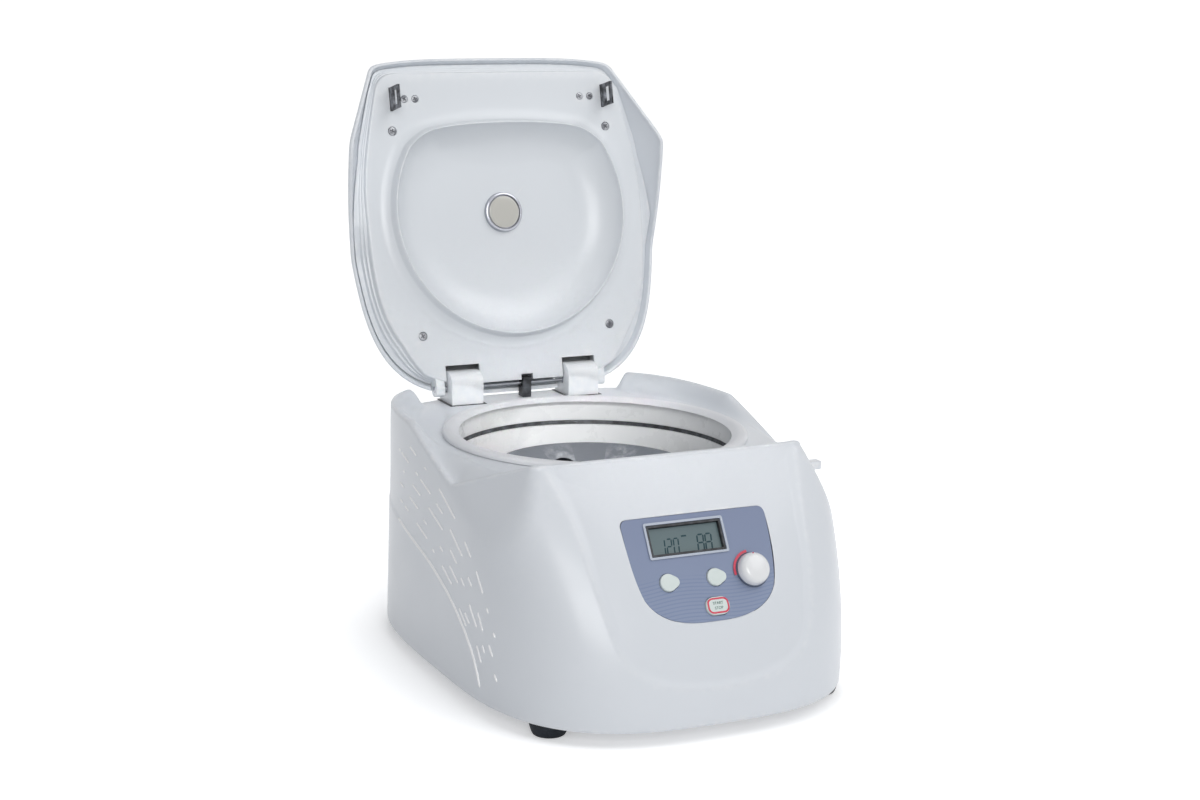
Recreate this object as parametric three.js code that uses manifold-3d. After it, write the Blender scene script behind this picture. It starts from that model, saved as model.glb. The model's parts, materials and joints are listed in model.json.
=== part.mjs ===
// Bench-top laboratory centrifuge with its lid open: a moulded housing with a sealed bowl, an angle
// rotor on a sprung motor, a hinged dome lid with a sight glass, a slide latch and a control panel.
// Millimetres, +Z up. The rotor turns about the Z axis through x = y = 0 until the last lines, which
// centre the whole object over the origin. The control panel looks towards -Y.
import * as THREE from "three";
import { mergeVertices } from "three/addons/utils/BufferGeometryUtils.js";
import Module from "manifold-3d";

const wasm = await Module();
wasm.setup();

// ---- Housing ----
const BODY_HALF_WIDTH = 140; // at the base, at the widest section
const BODY_MIDDLE_Y = -50; // where the plan is widest
const FRONT_REACH = 159; // widest section to the front of the base
const REAR_REACH = 205; // widest section to the rear
const FOOT_HEIGHT = 9.5;
const CREST_HEIGHT = 180; // top edge of the front
const FRONT_LEAN = 84.5; // how far the front falls back from base to crest
const FRONT_CURVE = 1.9; // exponent of that lean
const SIDE_LEAN = 3;
const REAR_SQUARENESS = 3.8; // superellipse exponent of the rear half of the plan
const FRONT_SQUARENESS = 2.9; // the same for the front half, at the base
const CREST_SQUARENESS = 1.1; // added to it at the crest
const WALL = 3;
const CREST_Y = -124; // the crest, the side notch and the rear shoulder, seen from the side
const NOTCH = [-50, 151];
const SHOULDER = [33, 179];
const FACET = { x: 0.846, y: 0.218, z: 0.487, distance: 201.2 }; // slanting facet at each front corner
const FACET_BLEND = 6;

// ---- Deck, bowl and seal ----
const DECK_Z = 165.5; // top of the deck under the lid
const DECK_MARGIN = 3; // deck edge outside the lid liner
const DECK_REAR_HALF = 92; // the deck runs out through the rear between the hinge corners
const BOWL_RADIUS = 106; // inside
const BOWL_WALL = 1.2;
const BOWL_FLOOR_Z = 79;
const BOWL_FLANGE = 110;
const SLIT_Z = 150; // dark groove round the bowl wall
const SEAL_OUTER = 113.8;
const SEAL_INNER = 101.5;
const SEAL_TOP = 170.6;
const SEAL_LIP = 167.6; // height at its inner edge

// ---- Lid ----
const LINER_Z = 171.2; // underside of the liner with the lid shut
const LINER_PLATE = 2.5;
const LINER_HALF = 119.5;
const LINER_FRONT_Y = -111.5;
const DISH_RADIUS = 97; // recess over the rotor
const DISH_FRONT_Y = -66;
const DISH_DEPTH = 11;
const DISH_RIM = 9; // how far the rim round the dish stands proud of the liner
const LID_APEX = 240;
const LID_WALL = 3;
const LID_GAP = 0.8; // lid edge to housing edge
const LID_REAR_REACH = 195.5;
const LID_CENTRE_Y = 10; // the dome closes over this point
const LID_OPEN = 103.67; // degrees from shut to its stop
const PIN = { y: 137.7, z: 176.7, radius: 2.5, half: 74 };
const KNUCKLE = { x: 50.4, width: 26.5, radius: 14 };
const SIGHT_RADIUS = 11;

// ---- Latch ----
const STRIKER = { x: 91.6, y: -90.7, length: 18, thickness: 2, drop: 18.5 };
const STRIKER_FRAME = 3; // width of the metal round the striker's window
const HOOK_HALF = 4; // half width of the latch hook that enters the window
const LATCH_TRAVEL = 5;
const BAR = { y: -116, z: 158, depth: 7, height: 6, left: -97, right: 124 };

// ---- Rotor and drive ----
const ROTOR_TOP = 141;
const ROTOR_BASE = 84;
const ROTOR_RIM = 78;
const ROTOR_SKIRT = 92;
const TUBE_COUNT = 8;
const TUBE_RADIUS = 8.75;
const TUBE_TILT = 33; // degrees from upright
const TUBE_CIRCLE = 50; // where a tube axis meets the top of the rotor
const TUBE_LENGTH = 56;
const SHAFT_RADIUS = 6;
const MOTOR = { radius: 40, bottom: 36, top: 74 };

// ---- Control panel ----
const PANEL_TILT = 31; // degrees back from upright
const PANEL_Z = 100; // panel origin, on the overlay's face
const PANEL_Y = -180;
const OVERLAY_THICKNESS = 1.6;
const PANEL_WALL = 3;
const LCD = { x: -9, up: 34, width: 58, height: 22.5 };
const KNOB = { x: 35.5, up: 6.2, radius: 11.6, height: 9 };
const KEYS = [
  { name: "time_key", x: -29, up: 4.4, width: 14.5, height: 12 },
  { name: "speed_key", x: 7.2, up: 4.4, width: 14.5, height: 12 },
  { name: "start_stop_key", x: 2.9, up: -15.6, width: 18, height: 12.5 },
];
const KEY_PROUD = 1.2;
const BOARD_DEPTH = 13; // overlay face to the front of the control board

// ---- Fits ----
const GAP = 0.3; // between pieces that touch
const SLIDE_GAP = 0.35; // round sliding and turning pieces

const COLOURS = {
  housing: [0xe9ebee, 0.42, 0],
  liner: [0xd9dbdc, 0.5, 0],
  seal: [0xc9ccce, 0.7, 0],
  dark: [0x23272e, 0.6, 0],
  overlay: [0x8f9ab2, 0.4, 0],
  glass: [0xa8b4a8, 0.1, 0],
  keys: [0xdfe5dc, 0.45, 0],
  steel: [0xb4b8bc, 0.3, 1],
  aluminium: [0xc8cace, 0.35, 1],
  board: [0x2f6b3c, 0.5, 0],
};

// ---------------------------------------------------------------- solids

const REACH = 600; // longer than anything it has to cut through
const degrees = THREE.MathUtils.degToRad;

function solid(geometry) {
  const bare = geometry.clone();
  bare.deleteAttribute("normal");
  bare.deleteAttribute("uv");
  const merged = mergeVertices(bare, 1e-4);
  const vertProperties = new Float32Array(merged.attributes.position.array);
  const triVerts = new Uint32Array(merged.index.array);
  return new wasm.Manifold(new wasm.Mesh({ numProp: 3, vertProperties, triVerts }));
}

function geometryOf(body) {
  const mesh = body.getMesh();
  const geometry = new THREE.BufferGeometry();
  geometry.setAttribute("position", new THREE.BufferAttribute(mesh.vertProperties, 3));
  geometry.setIndex(new THREE.BufferAttribute(mesh.triVerts, 1));
  geometry.computeVertexNormals();
  return geometry;
}

// A box from its lowest to its highest corner.
function block(low, high) {
  const size = high.map((value, axis) => value - low[axis]);
  const geometry = new THREE.BoxGeometry(...size);
  geometry.translate(...low.map((value, axis) => value + size[axis] / 2));
  return solid(geometry);
}

// An upright cylinder or cone frustum between two heights.
function post(x, y, bottom, top, radius, segments = 24, topRadius = radius) {
  const geometry = new THREE.CylinderGeometry(topRadius, radius, top - bottom, segments);
  geometry.rotateX(Math.PI / 2);
  geometry.translate(x, y, (top + bottom) / 2);
  return solid(geometry);
}

// A cylinder along X.
function roundBar(left, right, y, z, radius, segments = 24) {
  const geometry = new THREE.CylinderGeometry(radius, radius, right - left, segments);
  geometry.rotateZ(Math.PI / 2);
  geometry.translate((left + right) / 2, y, z);
  return solid(geometry);
}

// A profile of [radius, height] pairs turned about the vertical axis at (x, y).
function turned(profile, segments, x = 0, y = 0) {
  const points = profile.map(([radius, height]) => new THREE.Vector2(radius, height));
  const geometry = new THREE.LatheGeometry(points, segments);
  geometry.rotateX(Math.PI / 2);
  geometry.translate(x, y, 0);
  return solid(geometry);
}

// A flat outline of [x, y] pairs raised from one height to another.
function prism(outline, bottom, top) {
  const shape = new THREE.Shape(outline.map(([x, y]) => new THREE.Vector2(x, y)));
  const geometry = new THREE.ExtrudeGeometry(shape, { depth: top - bottom, bevelEnabled: false });
  geometry.translate(0, 0, bottom);
  return solid(geometry);
}

// An outline of [y, z] pairs carried across the whole width.
function acrossWidth(outline, left = -REACH, right = REACH) {
  const shape = new THREE.Shape(outline.map(([y, z]) => new THREE.Vector2(y, z)));
  const geometry = new THREE.ExtrudeGeometry(shape, { depth: right - left, bevelEnabled: false });
  geometry.rotateZ(Math.PI / 2);
  geometry.rotateY(Math.PI / 2);
  geometry.translate(left, 0, 0);
  return solid(geometry);
}

// Closed rings of equal length, joined in order and capped by a fan at each end.
function loft(rings) {
  const count = rings[0].length;
  const positions = [];
  const faces = [];
  const centreOf = (ring) =>
    ring.reduce((sum, point) => sum.add(point), new THREE.Vector3()).divideScalar(count);
  rings.forEach((ring) => ring.forEach((point) => positions.push(point.x, point.y, point.z)));
  for (let ring = 0; ring + 1 < rings.length; ring += 1) {
    for (let i = 0; i < count; i += 1) {
      const a = ring * count + i;
      const b = ring * count + ((i + 1) % count);
      faces.push(a, b, b + count, a, b + count, a + count);
    }
  }
  const first = centreOf(rings[0]);
  const last = centreOf(rings.at(-1));
  positions.push(first.x, first.y, first.z, last.x, last.y, last.z);
  const firstIndex = rings.length * count;
  const topStart = (rings.length - 1) * count;
  for (let i = 0; i < count; i += 1) {
    const next = (i + 1) % count;
    faces.push(firstIndex, next, i);
    faces.push(firstIndex + 1, topStart + i, topStart + next);
  }
  const geometry = new THREE.BufferGeometry();
  geometry.setAttribute("position", new THREE.Float32BufferAttribute(positions, 3));
  geometry.setIndex(faces);
  return solid(geometry);
}

// ---------------------------------------------------------------- outer form

const COLUMNS = 56;

function smoothMinimum(a, b, blend) {
  const share = Math.max(0, blend - Math.abs(a - b)) / blend;
  return Math.min(a, b) - (share * share * blend) / 4;
}

// Distance from the plan's middle to the housing's skin, in one direction at one height.
function bodyRadius(angle, height, inset = 0, rearReach = REAR_REACH) {
  const rise = THREE.MathUtils.clamp((height - FOOT_HEIGHT) / (CREST_HEIGHT - FOOT_HEIGHT), 0, 1.1);
  const halfWidth = BODY_HALF_WIDTH - SIDE_LEAN * rise - inset;
  const front = FRONT_REACH - FRONT_LEAN * rise ** FRONT_CURVE - inset;
  const isFront = Math.sin(angle) < 0;
  const reach = isFront ? front : rearReach - inset;
  const power = isFront ? FRONT_SQUARENESS + CREST_SQUARENESS * rise : REAR_SQUARENESS;
  const across = Math.abs(Math.cos(angle));
  const along = Math.abs(Math.sin(angle));
  const plain = ((across / halfWidth) ** power + (along / reach) ** power) ** (-1 / power);
  const spread = FACET.x * across - FACET.y * Math.sin(angle);
  if (spread <= 0.05) {
    return plain;
  }
  const facet = FACET.distance - inset + FACET.y * BODY_MIDDLE_Y - FACET.z * height;
  return smoothMinimum(plain, facet / spread, FACET_BLEND);
}

function bodyRing(height, inset) {
  const ring = [];
  for (let i = 0; i < COLUMNS; i += 1) {
    const angle = (2 * Math.PI * i) / COLUMNS;
    const radius = bodyRadius(angle, height, inset);
    const y = BODY_MIDDLE_Y + radius * Math.sin(angle);
    ring.push(new THREE.Vector3(radius * Math.cos(angle), y, height));
  }
  return ring;
}

function bodyLoft(inset, bottom) {
  const steps = 7;
  const top = CREST_HEIGHT + 4;
  const rings = [];
  for (let i = 0; i <= steps; i += 1) {
    rings.push(bodyRing(bottom + ((top - bottom) * i) / steps, inset));
  }
  return loft(rings);
}

// Height of the parting edge between housing and lid, from the front at -Y to the rear.
function edgeHeight(y) {
  if (y <= CREST_Y) {
    return CREST_HEIGHT;
  }
  if (y <= NOTCH[0]) {
    return CREST_HEIGHT + ((y - CREST_Y) * (NOTCH[1] - CREST_HEIGHT)) / (NOTCH[0] - CREST_Y);
  }
  if (y <= SHOULDER[0]) {
    return NOTCH[1] + ((y - NOTCH[0]) * (SHOULDER[1] - NOTCH[1])) / (SHOULDER[0] - NOTCH[0]);
  }
  return SHOULDER[1];
}

// Everything lower than the parting edge, moved by a distance.
function belowEdge(shift) {
  return acrossWidth([
    [-REACH, -REACH],
    [REACH, -REACH],
    [REACH, SHOULDER[1] + shift],
    [SHOULDER[0], SHOULDER[1] + shift],
    [NOTCH[0], NOTCH[1] + shift],
    [CREST_Y, CREST_HEIGHT + shift],
    [-REACH, CREST_HEIGHT + shift],
  ]);
}

// Plan of the lid liner, grown outward by a margin.
function linerOutline(margin) {
  const half = LINER_HALF + margin;
  const front = LINER_FRONT_Y - margin;
  const rear = PIN.y + margin;
  const shape = new THREE.Shape();
  shape.moveTo(-half + 34, front);
  shape.lineTo(half - 34, front);
  shape.quadraticCurveTo(half - 19, front, half - 15, front + 14);
  shape.quadraticCurveTo(half, NOTCH[0] + 10, half, -15);
  shape.bezierCurveTo(half, 52, half - 4, 78, half - 22, 103);
  shape.quadraticCurveTo(half - 34, rear - 11, half - 52, rear);
  shape.lineTo(-half + 52, rear);
  shape.quadraticCurveTo(-half + 34, rear - 11, -half + 22, 103);
  shape.bezierCurveTo(-half + 4, 78, -half, 52, -half, -15);
  shape.quadraticCurveTo(-half, NOTCH[0] + 10, -half + 15, front + 14);
  shape.quadraticCurveTo(-half + 19, front, -half + 34, front);
  return shape.getPoints(5).map((point) => [point.x, point.y]).slice(0, -1);
}

// Frame of the control panel: x to the right, y up the panel, z out of its face.
const panelFrame = new THREE.Matrix4().makeRotationX(degrees(90 - PANEL_TILT));
panelFrame.setPosition(0, PANEL_Y, PANEL_Z);

// A body drawn in the panel's frame, put in its place.
function onPanel(body) {
  const placed = geometryOf(body);
  placed.applyMatrix4(panelFrame);
  return solid(placed);
}

function roundedRectangle(x, y, width, height, radius) {
  const shape = new THREE.Shape();
  const left = x - width / 2;
  const low = y - height / 2;
  shape.moveTo(left + radius, low);
  shape.lineTo(left + width - radius, low);
  shape.absarc(left + width - radius, low + radius, radius, -Math.PI / 2, 0);
  shape.absarc(left + width - radius, low + height - radius, radius, 0, Math.PI / 2);
  shape.absarc(left + radius, low + height - radius, radius, Math.PI / 2, Math.PI);
  shape.absarc(left + radius, low + radius, radius, Math.PI, 1.5 * Math.PI);
  const points = shape.getPoints(3).map((point) => [point.x, point.y]);
  return points.slice(0, -1);
}

// The overlay: nearly straight on top, narrowing to a wide round bottom.
function overlayOutline(margin) {
  const shape = new THREE.Shape();
  const half = 56 + margin;
  const top = 51 + margin;
  const low = -25.5 - margin;
  shape.moveTo(-half + 6, top);
  shape.quadraticCurveTo(-half, top, -half, top - 6);
  shape.quadraticCurveTo(-half, 10, -half + 6, -6);
  shape.quadraticCurveTo(-half + 16, low, -6, low);
  shape.lineTo(6, low);
  shape.quadraticCurveTo(half - 16, low, half - 6, -6);
  shape.quadraticCurveTo(half, 10, half, top - 6);
  shape.quadraticCurveTo(half, top, half - 6, top);
  return shape.getPoints(5).map((point) => [point.x, point.y]).slice(0, -1);
}

// ---------------------------------------------------------------- housing and base

const PILLARS = [[-112, -96], [112, -96], [-112, 96], [112, 96]];
const PILLAR_RADIUS = 5;
const PILLAR_TOP = 46;
const SCREW_SHANK = 1.5;
const PLATE = 2.5; // base plate thickness
const REAR_Y = BODY_MIDDLE_Y + REAR_REACH;
const INLET = { x: -62, z: 42, width: 28, height: 21, depth: 18 };
const SWITCH = { x: -22, z: 42, width: 20, height: 25, depth: 14 };
const FUSE = { x: 14, z: 42, width: 16, height: 20, depth: 14 };
const FLANGE = 3; // how far a rear fitting's flange overlaps the wall
const FLANGE_THICKNESS = 1.6;

function rearCut(fitting) {
  const halfWidth = fitting.width / 2 + GAP;
  const halfHeight = fitting.height / 2 + GAP;
  return block(
    [fitting.x - halfWidth, REAR_Y - 12, fitting.z - halfHeight],
    [fitting.x + halfWidth, REAR_Y + 12, fitting.z + halfHeight],
  );
}

function makeHousing() {
  const skin = bodyLoft(0, FOOT_HEIGHT);
  const deck = linerOutline(DECK_MARGIN);
  const rearRun = block([-DECK_REAR_HALF, 60, DECK_Z], [DECK_REAR_HALF, REACH, REACH]);
  const pocket = prism(deck, DECK_Z, REACH).add(rearRun);
  const plinth = prism(deck, 60, DECK_Z).intersect(skin);
  let outer = skin.intersect(belowEdge(0)).add(plinth).subtract(pocket);

  const innerSkin = bodyLoft(WALL, FOOT_HEIGHT - 4);
  const ceiling = DECK_Z - WALL;
  const underDeck = prism(linerOutline(DECK_MARGIN - WALL), -10, ceiling);
  const overDeck = prism(linerOutline(DECK_MARGIN + WALL), ceiling, REACH);
  const rearOver = rearRun.translate([0, 0, -WALL]);
  const panelSide = onPanel(block([-64, -34, -OVERLAY_THICKNESS - PANEL_WALL], [64, 62, REACH]));
  const hollow = innerSkin.intersect(belowEdge(-WALL - 0.2).add(underDeck))
    .subtract(overDeck).subtract(rearOver).subtract(panelSide);
  outer = outer.subtract(hollow);

  PILLARS.forEach(([x, y]) => {
    const pillar = post(x, y, FOOT_HEIGHT + PLATE + GAP, PILLAR_TOP, PILLAR_RADIUS, 16);
    const web = block(
      [Math.min(x, x + 24 * Math.sign(x)), y - 2, FOOT_HEIGHT + PLATE + GAP],
      [Math.max(x, x + 24 * Math.sign(x)), y + 2, PILLAR_TOP],
    ).intersect(bodyLoft(1, FOOT_HEIGHT));
    const bore = post(x, y, 0, PILLAR_TOP - 6, SCREW_SHANK + GAP, 12);
    outer = outer.add(pillar).add(web).subtract(bore);
  });

  outer = outer.subtract(post(0, 0, ceiling - 20, DECK_Z + 1, BOWL_RADIUS + BOWL_WALL + 2 * GAP, 48));
  [-1, 1].forEach((side) => {
    const half = [STRIKER.thickness / 2 + 1.6, STRIKER.length / 2 + 3.5];
    outer = outer.subtract(block(
      [side * STRIKER.x - half[0], STRIKER.y - half[1], ceiling - 1],
      [side * STRIKER.x + half[0], STRIKER.y + half[1], DECK_Z + 1],
    ));
  });
  const clear = SLIDE_GAP;
  outer = outer.subtract(block(
    [BAR.right - 30, BAR.y - BAR.depth / 2 - clear, BAR.z - BAR.height / 2 - clear],
    [REACH, BAR.y + BAR.depth / 2 + clear, BAR.z + BAR.height / 2 + clear],
  ));

  outer = outer.subtract(onPanel(prism(overlayOutline(GAP), -OVERLAY_THICKNESS - GAP, 30)));
  outer = outer.subtract(onPanel(block(
    [LCD.x - LCD.width / 2, LCD.up - LCD.height / 2, -12],
    [LCD.x + LCD.width / 2, LCD.up + LCD.height / 2, 5],
  )));
  KEYS.forEach((key) => {
    const hole = roundedRectangle(key.x, key.up, key.width + 2, key.height + 2, 4);
    outer = outer.subtract(onPanel(prism(hole, -12, 5)));
  });
  outer = outer.subtract(onPanel(post(KNOB.x, KNOB.up, -12, 5, 6, 20)));
  BOARD_POSTS.forEach(([x, y]) => {
    const stand = post(x, y, -BOARD_DEPTH + GAP, -OVERLAY_THICKNESS - PANEL_WALL + 1, 3, 12);
    outer = outer.add(onPanel(stand));
  });
  [INLET, SWITCH, FUSE].forEach((fitting) => {
    outer = outer.subtract(rearCut(fitting));
  });
  return outer;
}

function makeBasePlate() {
  const top = FOOT_HEIGHT + PLATE;
  let plate = loft([bodyRing(FOOT_HEIGHT, WALL + 2 * GAP), bodyRing(top, WALL + 2 * GAP)]);
  PILLARS.forEach(([x, y]) => {
    plate = plate.subtract(post(x, y, 0, 30, SCREW_SHANK + GAP, 12));
  });
  FEET.forEach(([, x, y]) => {
    plate = plate.subtract(post(x, y, 0, 30, FOOT_STEM + GAP, 16));
  });
  for (let i = 0; i < 7; i += 1) {
    const x = 60 + i * 7;
    plate = plate.subtract(block([x, -20, 0], [x + 3, 30, 30]));
  }
  return plate;
}

const FOOT_STEM = 4;
const FOOT_RADIUS = 14;
const FEET = [
  ["foot_front_left", -107, -155.5],
  ["foot_front_right", 107, -155.5],
  ["foot_rear_left", -96, 118],
  ["foot_rear_right", 96, 118],
];

function makeFoot(x, y) {
  const top = FOOT_HEIGHT - GAP;
  return turned([
    [0, 0], [FOOT_RADIUS - 3, 0], [FOOT_RADIUS - 1.6, 1.8], [FOOT_RADIUS, top], [FOOT_STEM, top],
    [FOOT_STEM, top + PLATE + 1], [FOOT_STEM - 1, top + PLATE + 2], [0, top + PLATE + 2],
  ], 16, x, y);
}

function makeBaseScrew(x, y) {
  const under = FOOT_HEIGHT - GAP;
  return turned([
    [0, under - 2], [2.6, under - 2], [3.2, under - 1.4], [3.2, under], [SCREW_SHANK, under],
    [SCREW_SHANK, under + 18], [0, under + 19],
  ], 12, x, y);
}

// ---------------------------------------------------------------- bowl, seal and drive

function makeBowl() {
  const outer = BOWL_RADIUS + BOWL_WALL;
  const flange = DECK_Z + GAP;
  return turned([
    [16, BOWL_FLOOR_Z - BOWL_WALL], [BOWL_RADIUS - 14, BOWL_FLOOR_Z - BOWL_WALL],
    [outer - 4, BOWL_FLOOR_Z + 6], [outer, BOWL_FLOOR_Z + 18], [outer, flange],
    [BOWL_FLANGE, flange], [BOWL_FLANGE, flange + BOWL_WALL], [BOWL_RADIUS, flange + BOWL_WALL],
    [BOWL_RADIUS, SLIT_Z + 1.5], [BOWL_RADIUS + 0.7, SLIT_Z + 1], [BOWL_RADIUS + 0.7, SLIT_Z - 1],
    [BOWL_RADIUS - 1, SLIT_Z - 1.5], [BOWL_RADIUS - 1, BOWL_FLOOR_Z + 18],
    [BOWL_RADIUS - 5, BOWL_FLOOR_Z + 7], [BOWL_RADIUS - 15, BOWL_FLOOR_Z], [24, BOWL_FLOOR_Z],
    [19, BOWL_FLOOR_Z + 3], [16, BOWL_FLOOR_Z + 3], [16, BOWL_FLOOR_Z - BOWL_WALL],
  ], 40);
}

// The seal sits over the bowl's flange and grips the deck with its outer foot.
function makeSeal() {
  const seat = DECK_Z + GAP;
  const over = seat + BOWL_WALL + GAP;
  return turned([
    [BOWL_FLANGE + GAP, seat], [SEAL_OUTER, seat], [SEAL_OUTER, SEAL_TOP - 1],
    [SEAL_OUTER - 1.2, SEAL_TOP], [SEAL_OUTER - 4, SEAL_TOP], [SEAL_INNER + 1.4, SEAL_LIP + 0.9],
    [SEAL_INNER, SEAL_LIP], [SEAL_INNER + 1, over - 0.2], [BOWL_RADIUS - 2, over],
    [BOWL_FLANGE + GAP, over], [BOWL_FLANGE + GAP, seat],
  ], 48);
}

const SHAFT_TOP = ROTOR_TOP - 8;
const HUB_TOP = ROTOR_TOP - 22;

function makeRotor() {
  let rotor = turned([
    [SHAFT_RADIUS + SLIDE_GAP, ROTOR_BASE + 6], [22, ROTOR_BASE + 6], [30, ROTOR_BASE],
    [ROTOR_SKIRT - 4, ROTOR_BASE], [ROTOR_SKIRT, ROTOR_BASE + 4], [ROTOR_RIM, ROTOR_TOP - 3],
    [ROTOR_RIM - 3, ROTOR_TOP], [ROTOR_RIM - 6, ROTOR_TOP], [30, HUB_TOP], [14, HUB_TOP],
    [SHAFT_RADIUS + SLIDE_GAP, HUB_TOP], [SHAFT_RADIUS + SLIDE_GAP, ROTOR_BASE + 6],
  ], 40);
  const slope = (ROTOR_TOP - HUB_TOP) / (ROTOR_RIM - 6 - 30);
  const mouth = HUB_TOP + (TUBE_CIRCLE - 30) * slope;
  for (let i = 0; i < TUBE_COUNT; i += 1) {
    const bore = new THREE.CylinderGeometry(TUBE_RADIUS, TUBE_RADIUS, TUBE_LENGTH + 20, 16);
    bore.translate(0, 10 - TUBE_LENGTH / 2 + 10, 0);
    bore.rotateX(Math.PI / 2);
    bore.rotateY(degrees(-TUBE_TILT));
    bore.translate(TUBE_CIRCLE, 0, mouth);
    bore.rotateZ((2 * Math.PI * i) / TUBE_COUNT);
    rotor = rotor.subtract(solid(bore));
  }
  return rotor;
}

function makeShaft() {
  const seat = ROTOR_BASE + 6 - GAP;
  return turned([
    [0, MOTOR.bottom + 8], [SHAFT_RADIUS, MOTOR.bottom + 8], [SHAFT_RADIUS, seat - 4],
    [12, seat - 4], [12, seat], [SHAFT_RADIUS, seat], [SHAFT_RADIUS, HUB_TOP + 1],
    [4, HUB_TOP + 1], [4, SHAFT_TOP], [0, SHAFT_TOP],
  ], 16);
}

function makeRotorNut() {
  const seat = HUB_TOP + 1 + GAP;
  const nut = turned([
    [4 + GAP, seat], [13, seat], [13, seat + 2], [11, seat + 4], [11, SHAFT_TOP + 3],
    [9, SHAFT_TOP + 5], [0, SHAFT_TOP + 5], [0, SHAFT_TOP + GAP], [4 + GAP, SHAFT_TOP + GAP],
    [4 + GAP, seat],
  ], 18);
  let grip = nut;
  for (let i = 0; i < 6; i += 1) {
    const angle = (Math.PI * i) / 3;
    const groove = post(13 * Math.cos(angle), 13 * Math.sin(angle), seat + 3, REACH, 3, 8);
    grip = grip.subtract(groove);
  }
  return grip;
}

function makeMotor() {
  return turned([
    [SHAFT_RADIUS + SLIDE_GAP, MOTOR.bottom], [MOTOR.radius - 3, MOTOR.bottom],
    [MOTOR.radius, MOTOR.bottom + 3], [MOTOR.radius, MOTOR.top - 8],
    [MOTOR.radius - 6, MOTOR.top - 4], [15, MOTOR.top - 4], [15, MOTOR.top],
    [SHAFT_RADIUS + SLIDE_GAP, MOTOR.top], [SHAFT_RADIUS + SLIDE_GAP, MOTOR.bottom],
  ], 24);
}

const MOTOR_PLATE = { size: 62, thickness: 3 };
const DAMPERS = [90, 210, 330].map((turn) => degrees(turn));

function makeMotorPlate() {
  const top = MOTOR.bottom - GAP;
  const outline = [];
  for (let i = 0; i < 36; i += 1) {
    const angle = (2 * Math.PI * i) / 36;
    const radius = MOTOR_PLATE.size - 9 + 9 * Math.cos(3 * (angle - DAMPERS[0]));
    outline.push([radius * Math.cos(angle), radius * Math.sin(angle)]);
  }
  return prism(outline, top - MOTOR_PLATE.thickness, top);
}

function makeDamper(angle) {
  const bottom = FOOT_HEIGHT + PLATE + GAP;
  const top = MOTOR.bottom - GAP - MOTOR_PLATE.thickness - GAP;
  const middle = (bottom + top) / 2;
  const radius = MOTOR_PLATE.size - 12;
  return turned([
    [0, bottom], [8, bottom], [9, bottom + 2], [6.5, middle], [9, top - 2], [8, top], [0, top],
  ], 14, radius * Math.cos(angle), radius * Math.sin(angle));
}

// ---------------------------------------------------------------- control panel

const BOARD = { left: -58, right: 58, low: -26, top: 50, thickness: 1.6 };
const BOARD_POSTS = [[-52, 44], [52, 44], [-50, -2], [50, -16]];

function makeOverlay() {
  let plate = prism(overlayOutline(0), -OVERLAY_THICKNESS, 0);
  plate = plate.subtract(block(
    [LCD.x - LCD.width / 2, LCD.up - LCD.height / 2, -9],
    [LCD.x + LCD.width / 2, LCD.up + LCD.height / 2, 9],
  ));
  KEYS.forEach((key) => {
    const grown = 2 * SLIDE_GAP;
    const hole = roundedRectangle(key.x, key.up, key.width + grown, key.height + grown, 4);
    plate = plate.subtract(prism(hole, -9, 9));
  });
  return plate.subtract(post(KNOB.x, KNOB.up, -9, 9, 5, 20));
}

function makeLcdBezel() {
  const wide = LCD.width / 2 - GAP;
  const tall = LCD.height / 2 - GAP;
  const frame = block(
    [LCD.x - wide, LCD.up - tall, -6],
    [LCD.x + wide, LCD.up + tall, -0.4],
  );
  return frame.subtract(block(
    [LCD.x - wide + 1.5, LCD.up - tall + 1.5, -9],
    [LCD.x + wide - 1.5, LCD.up + tall - 1.5, 9],
  ));
}

function makeLcdPanel() {
  const inset = GAP + 1.5 + GAP;
  return block(
    [LCD.x - LCD.width / 2 + inset, LCD.up - LCD.height / 2 + inset, -BOARD_DEPTH + GAP],
    [LCD.x + LCD.width / 2 - inset, LCD.up + LCD.height / 2 - inset, -2],
  );
}

function makeKey(key) {
  const cap = roundedRectangle(key.x, key.up, key.width, key.height, 4);
  const stem = roundedRectangle(key.x, key.up, 6, 6, 1.5);
  const back = -OVERLAY_THICKNESS - 2;
  return prism(cap, back, KEY_PROUD).add(prism(stem, -BOARD_DEPTH + 3.6, back + 1));
}

function makeKeySwitches(key) {
  return block(
    [key.x - 3, key.up - 3, -BOARD_DEPTH + GAP],
    [key.x + 3, key.up + 3, -BOARD_DEPTH + 2.3],
  );
}

function makeControlBoard() {
  const back = -BOARD_DEPTH - BOARD.thickness;
  return block([BOARD.left, BOARD.low, back], [BOARD.right, BOARD.top, -BOARD_DEPTH]);
}

function makeEncoder() {
  const box = block(
    [KNOB.x - 6, KNOB.up - 6, -BOARD_DEPTH + GAP],
    [KNOB.x + 6, KNOB.up + 6, -BOARD_DEPTH + 6],
  );
  return box.add(post(KNOB.x, KNOB.up, -BOARD_DEPTH + 5, 4, 3, 16));
}

function makeKnob() {
  const low = SLIDE_GAP + 0.15;
  const top = KNOB.height;
  return turned([
    [3 + SLIDE_GAP, low], [KNOB.radius, low], [KNOB.radius, low + 2],
    [KNOB.radius - 0.7, top - 3.2], [KNOB.radius - 3, top - 1], [KNOB.radius - 6.5, top - 0.2],
    [0, top], [0, 4 + GAP], [3 + SLIDE_GAP, 4 + GAP], [3 + SLIDE_GAP, low],
  ], 24, KNOB.x, KNOB.up);
}

// ---------------------------------------------------------------- rear fittings

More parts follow.
